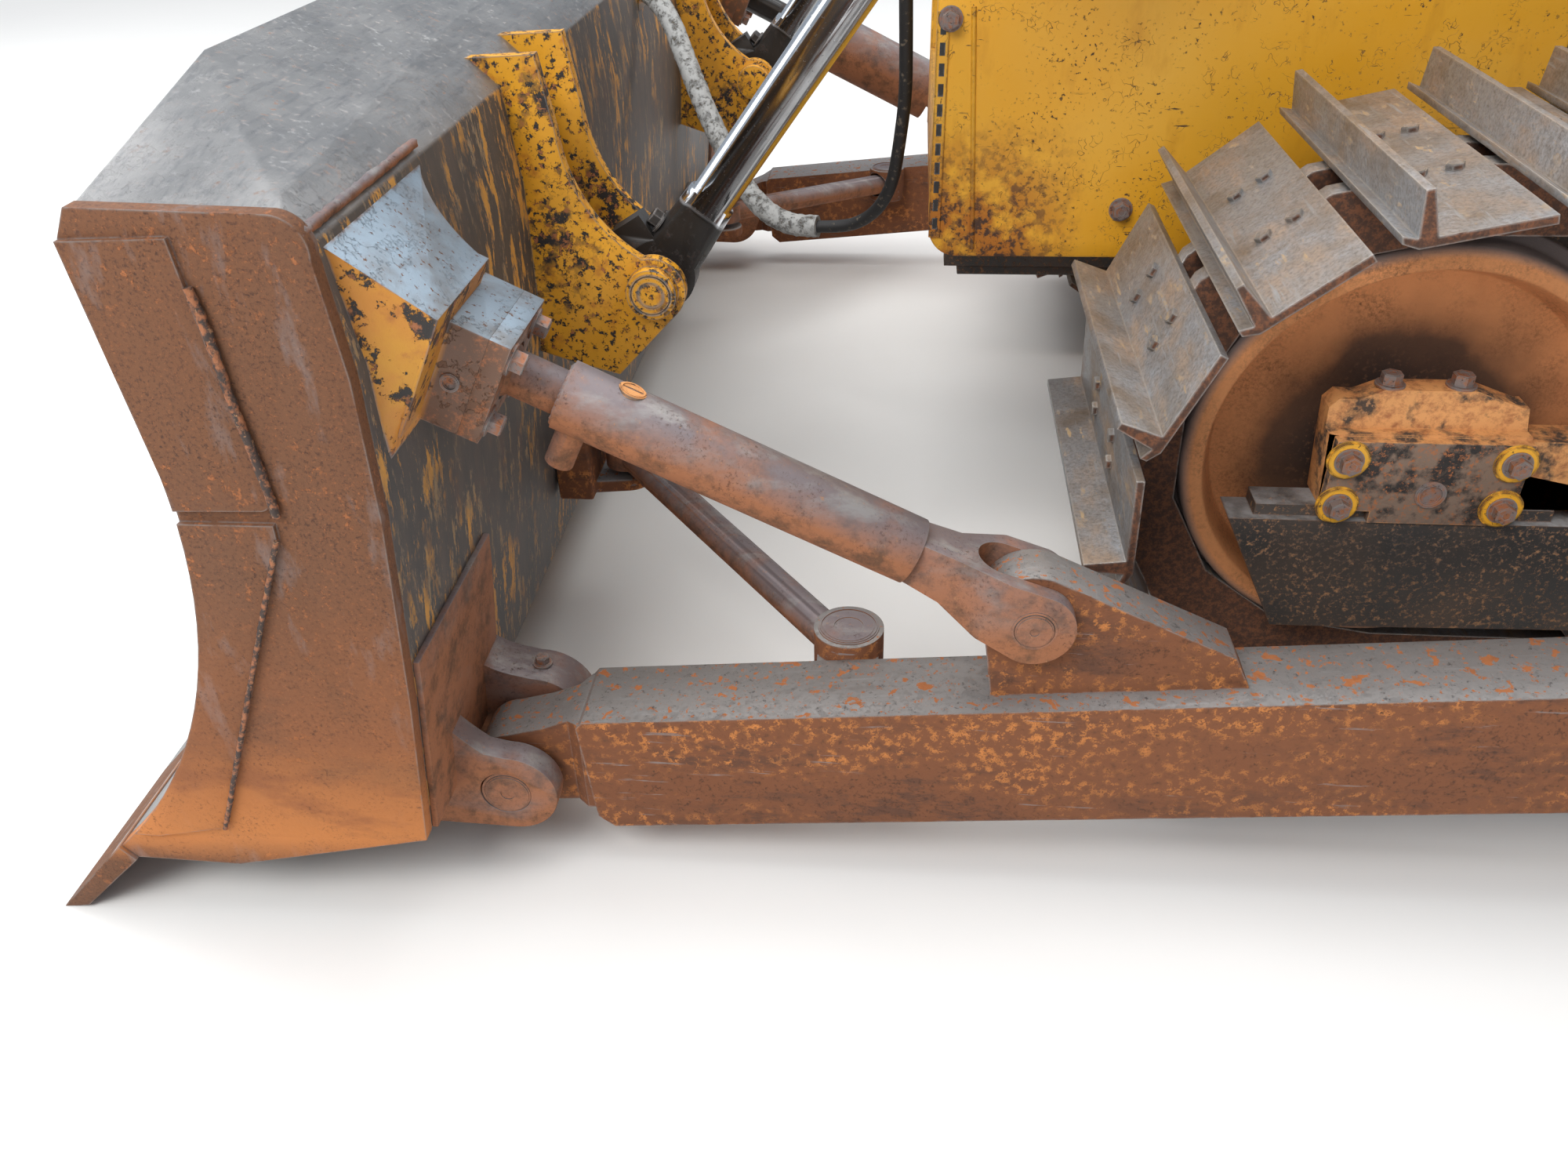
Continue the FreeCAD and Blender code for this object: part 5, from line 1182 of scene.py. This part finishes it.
def stuffed(node, edge, cap, channels):
    """Cushion blown up like cloth over foam from a part's own solid, with its sewn channels."""
    piece = softened(node, 0)
    bpy.ops.object.mode_set(mode="EDIT")
    bpy.ops.mesh.select_all(action="SELECT")
    bpy.ops.transform.shrink_fatten(value=-0.4 * cap * MM)
    bpy.ops.object.mode_set(mode="OBJECT")
    applied(piece, "BEVEL", width=edge * MM, segments=4, limit_method="ANGLE")
    applied(piece, "REMESH", mode="VOXEL", voxel_size=6 * MM)
    blow_up(piece, cap * MM)
    seam_width, seam_depth = 6 * MM, 5 * MM
    normals = [vertex.normal.copy() for vertex in piece.data.vertices]
    for vertex, normal in zip(piece.data.vertices, normals):
        for line in channels:
            near = (vertex.co.y - line) / seam_width
            vertex.co -= normal * seam_depth * math.exp(-near * near)
    select_only(piece)
    applied(piece, "SUBSURF", levels=1, render_levels=1)
    bpy.ops.object.shade_smooth()
    return piece


def blow_up(piece, most):
    """Lets a piece bulge for 20 frames as cloth under pressure, by most metres at each vertex."""
    flat = [vertex.co.copy() for vertex in piece.data.vertices]
    cloth = piece.modifiers.new("cloth", "CLOTH")
    cloth.settings.use_pressure = True
    cloth.settings.uniform_pressure_force = 4.0
    cloth.settings.effector_weights.gravity = 0.0
    for frame in range(1, 21):
        bpy.context.scene.frame_set(frame)
    blown = piece.evaluated_get(bpy.context.evaluated_depsgraph_get()).to_mesh()
    moved = [vertex.co.copy() for vertex in blown.vertices]
    piece.modifiers.remove(cloth)
    bpy.context.scene.frame_set(1)
    for vertex, old, new in zip(piece.data.vertices, flat, moved):
        step = new - old
        if step.length > most:
            step = step.normalized() * most
        vertex.co = old + step


class CRAWLER_OT_lenses(bpy.types.Operator):
    """Puts a domed lens in each work lamp"""

    bl_idname = "crawler.lenses"
    bl_label = "Lamp lenses"

    def execute(self, context):
        lens = turned("lamp_lens", 58, 32, 1.5, [(2, 2), (8, 2.5), (14, 2), (16, 1)])
        low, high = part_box("work_lamps")
        places = [touching("work_lamps", (high.x + 0.4, y, (low.z + high.z) / 2), (-1, 0, 0))
                  for y in (low.y + 0.07, high.y - 0.07)]
        dress(set_out("lamp_lenses", lens, places), "glass", "tractor")
        discard(lens)
        return {"FINISHED"}


class CRAWLER_OT_shoe_bolts(bpy.types.Operator):
    """Puts four bolts on every shoe of both tracks"""

    bl_idname = "crawler.shoe_bolts"
    bl_label = "Shoe bolts"

    def execute(self, context):
        bolt = turned("shoe_bolt", 14, 6, 9, [(1.6, 1)])
        for node in ("track_left", "track_right"):
            low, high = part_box(node)
            middle = (low + high) / 2
            places = []
            for face in bpy.data.objects[node + "_piece"].data.polygons:
                # Only a shoe's outer plate is this large, in square metres, and looks away from the chain
                if face.area < 0.09 or abs(face.normal.y) > 0.1:
                    continue
                along = Vector((0, 1, 0)).cross(face.normal)
                for across in (-105, 105):
                    for reach in (-26, 26):
                        point = Vector((face.center.x, middle.y + across * MM, face.center.z))
                        point += along * reach * MM - face.normal * 0.5 * MM
                        places.append((point, face.normal.copy()))
            dress(set_out(node + "_bolts", bolt, places), "shoe", BODY_OF[node])
        discard(bolt)
        return {"FINISHED"}


class CRAWLER_OT_stage(bpy.types.Operator):
    """Sets the floor, the lamps and the camera"""

    bl_idname = "crawler.stage"
    bl_label = "Stage"

    def execute(self, context):
        make_floor()
        make_lamps(context.scene)
        make_camera(context.scene)
        context.scene.view_settings.view_transform = "Standard"
        return {"FINISHED"}


def make_floor():
    """A wide pale floor that shows plain white to the camera and keeps the shadow."""
    bpy.ops.mesh.primitive_circle_add(vertices=96, radius=60.0, fill_type="NGON", location=(0, 0, 0))
    floor = bpy.context.object
    floor.name = "studio_floor"
    made, tree, shader = new_finish("studio_floor", Roughness=0.9)
    darker = tuple(v * 0.97 for v in painted("floor")[:3]) + (1.0,)
    colour = coats("floor", (patches(place(tree), 400, 0.2, 0.8), darker))
    tree.links.new(colour, shader.inputs["Base Color"])
    # Far from the tractor the floor shows as white as the backdrop
    reach = add(tree, "VectorMath", {0: place(tree)}, operation="LENGTH").outputs["Value"]
    far = add(tree, "MapRange", {"Value": reach, "From Min": 4.0, "From Max": 16.0}).outputs[0]
    seen = add(tree, "LightPath").outputs["Is Camera Ray"]
    white = add(tree, "Emission", {"Color": (1, 1, 1, 1), "Strength": 0.95}).outputs[0]
    blend = add(tree, "MixShader", {0: both(far, seen), 1: shader.outputs[0], 2: white}).outputs[0]
    tree.links.new(blend, tree.nodes["Material Output"].inputs["Surface"])
    floor.data.materials.append(made)


LAMPS = [
    # name, place, aim, width, height, watts
    ("key", (4.5, 6.5, 7.0), (0.6, 0.4, 0.6), 5.0, 4.0, 620.0),
    ("sky", (1.0, -1.0, 9.0), (0.6, 0.0, 0.5), 9.0, 9.0, 700.0),
    ("rim", (-7.0, -6.0, 5.0), (0.0, 0.0, 1.2), 5.0, 4.0, 420.0),
    ("front", (9.0, -3.0, 4.0), (1.0, 0.0, 0.9), 5.0, 4.0, 260.0),
]


def make_lamps(scene):
    """Soft area lamps round the tractor and an even world."""
    for name, at, aim, width, height, watts in LAMPS:
        data = bpy.data.lights.new(name + "_lamp", "AREA")
        data.shape, data.size, data.size_y, data.energy = "RECTANGLE", width, height, watts
        lamp = bpy.data.objects.new(name + "_lamp", data)
        lamp.location = at
        lamp.rotation_euler = (Vector(aim) - Vector(at)).to_track_quat("-Z", "Y").to_euler()
        scene.collection.objects.link(lamp)
    world = bpy.data.worlds.new("studio")
    world.use_nodes = True
    tree = world.node_tree
    tree.nodes.clear()
    seen = add(tree, "LightPath").outputs["Is Camera Ray"]
    sky = add(tree, "Mix", {0: seen, 6: (0.62, 0.68, 0.76, 1), 7: (1, 1, 1, 1)}, data_type="RGBA").outputs[2]
    strength = add(tree, "Mix", {0: seen, 2: 0.75, 3: 0.95}).outputs[0]
    light = add(tree, "Background", {"Color": sky, "Strength": strength})
    add(tree, "OutputWorld", {"Surface": light.outputs[0]})
    scene.world = world


# Where the camera stands from the left end of the idlers' axle, and how it is turned, in degrees
CAMERA_FROM_IDLER = (0.8683, 2.0645, 1.0544)
CAMERA_YAW, CAMERA_PITCH, CAMERA_ROLL = 6.27, 34.66, -1.70
HALF_GAUGE = 0.9845


def make_camera(scene):
    """The photographer's view: beside the left idler, looking down over the push arm."""
    data = bpy.data.cameras.new("camera")
    data.sensor_width, data.lens = 36.0, scene.crawler_sizes.lens
    camera = bpy.data.objects.new("camera", data)
    yaw, pitch, roll = (math.radians(v) for v in (CAMERA_YAW, CAMERA_PITCH, CAMERA_ROLL))
    level = Vector((math.sin(yaw), -math.cos(yaw), 0))
    right = level.cross(Vector((0, 0, 1)))
    ahead = level * math.cos(pitch) - Vector((0, 0, math.sin(pitch)))
    up = right.cross(ahead)
    right, up = right * math.cos(roll) + up * math.sin(roll), up * math.cos(roll) - right * math.sin(roll)
    pose = Matrix((right, up, -ahead)).transposed().to_4x4()
    dx, dy, dz = CAMERA_FROM_IDLER
    pose.translation = Vector((IDLER_X + dx, HALF_GAUGE + dy, IDLER_Z + dz))
    camera.matrix_world = pose
    scene.collection.objects.link(camera)
    scene.camera = camera


class CRAWLER_PT_panel(bpy.types.Panel):
    """Lists the steps in the sidebar"""

    bl_idname = "CRAWLER_PT_panel"
    bl_label = "Crawler Tractor"
    bl_space_type = "VIEW_3D"
    bl_region_type = "UI"
    bl_category = "Crawler"

    def draw(self, context):
        for step in STEPS:
            self.layout.operator(step.bl_idname)
        for name in CrawlerSizes.__annotations__:
            self.layout.prop(context.scene.crawler_sizes, name)
        for name in COLOURS:
            self.layout.prop(context.scene.crawler_colours, name)


STEPS = [
    CRAWLER_OT_stage, CRAWLER_OT_hoses, CRAWLER_OT_finishes, CRAWLER_OT_castings, CRAWLER_OT_bolts,
    CRAWLER_OT_pins, CRAWLER_OT_nose_edge, CRAWLER_OT_welds, CRAWLER_OT_pads, CRAWLER_OT_lenses,
    CRAWLER_OT_shoe_bolts,
]
CLASSES = [CrawlerColours, CrawlerSizes, *STEPS, CRAWLER_PT_panel]


def register():
    for each in CLASSES:
        bpy.utils.register_class(each)
    bpy.types.Scene.crawler_colours = bpy.props.PointerProperty(type=CrawlerColours)
    bpy.types.Scene.crawler_sizes = bpy.props.PointerProperty(type=CrawlerSizes)


def unregister():
    del bpy.types.Scene.crawler_sizes
    del bpy.types.Scene.crawler_colours
    for each in reversed(CLASSES):
        bpy.utils.unregister_class(each)


def main():
    register()
    for step in STEPS:
        group, name = step.bl_idname.split(".")
        getattr(getattr(bpy.ops, group), name)()


if __name__ == "__main__":
    main()
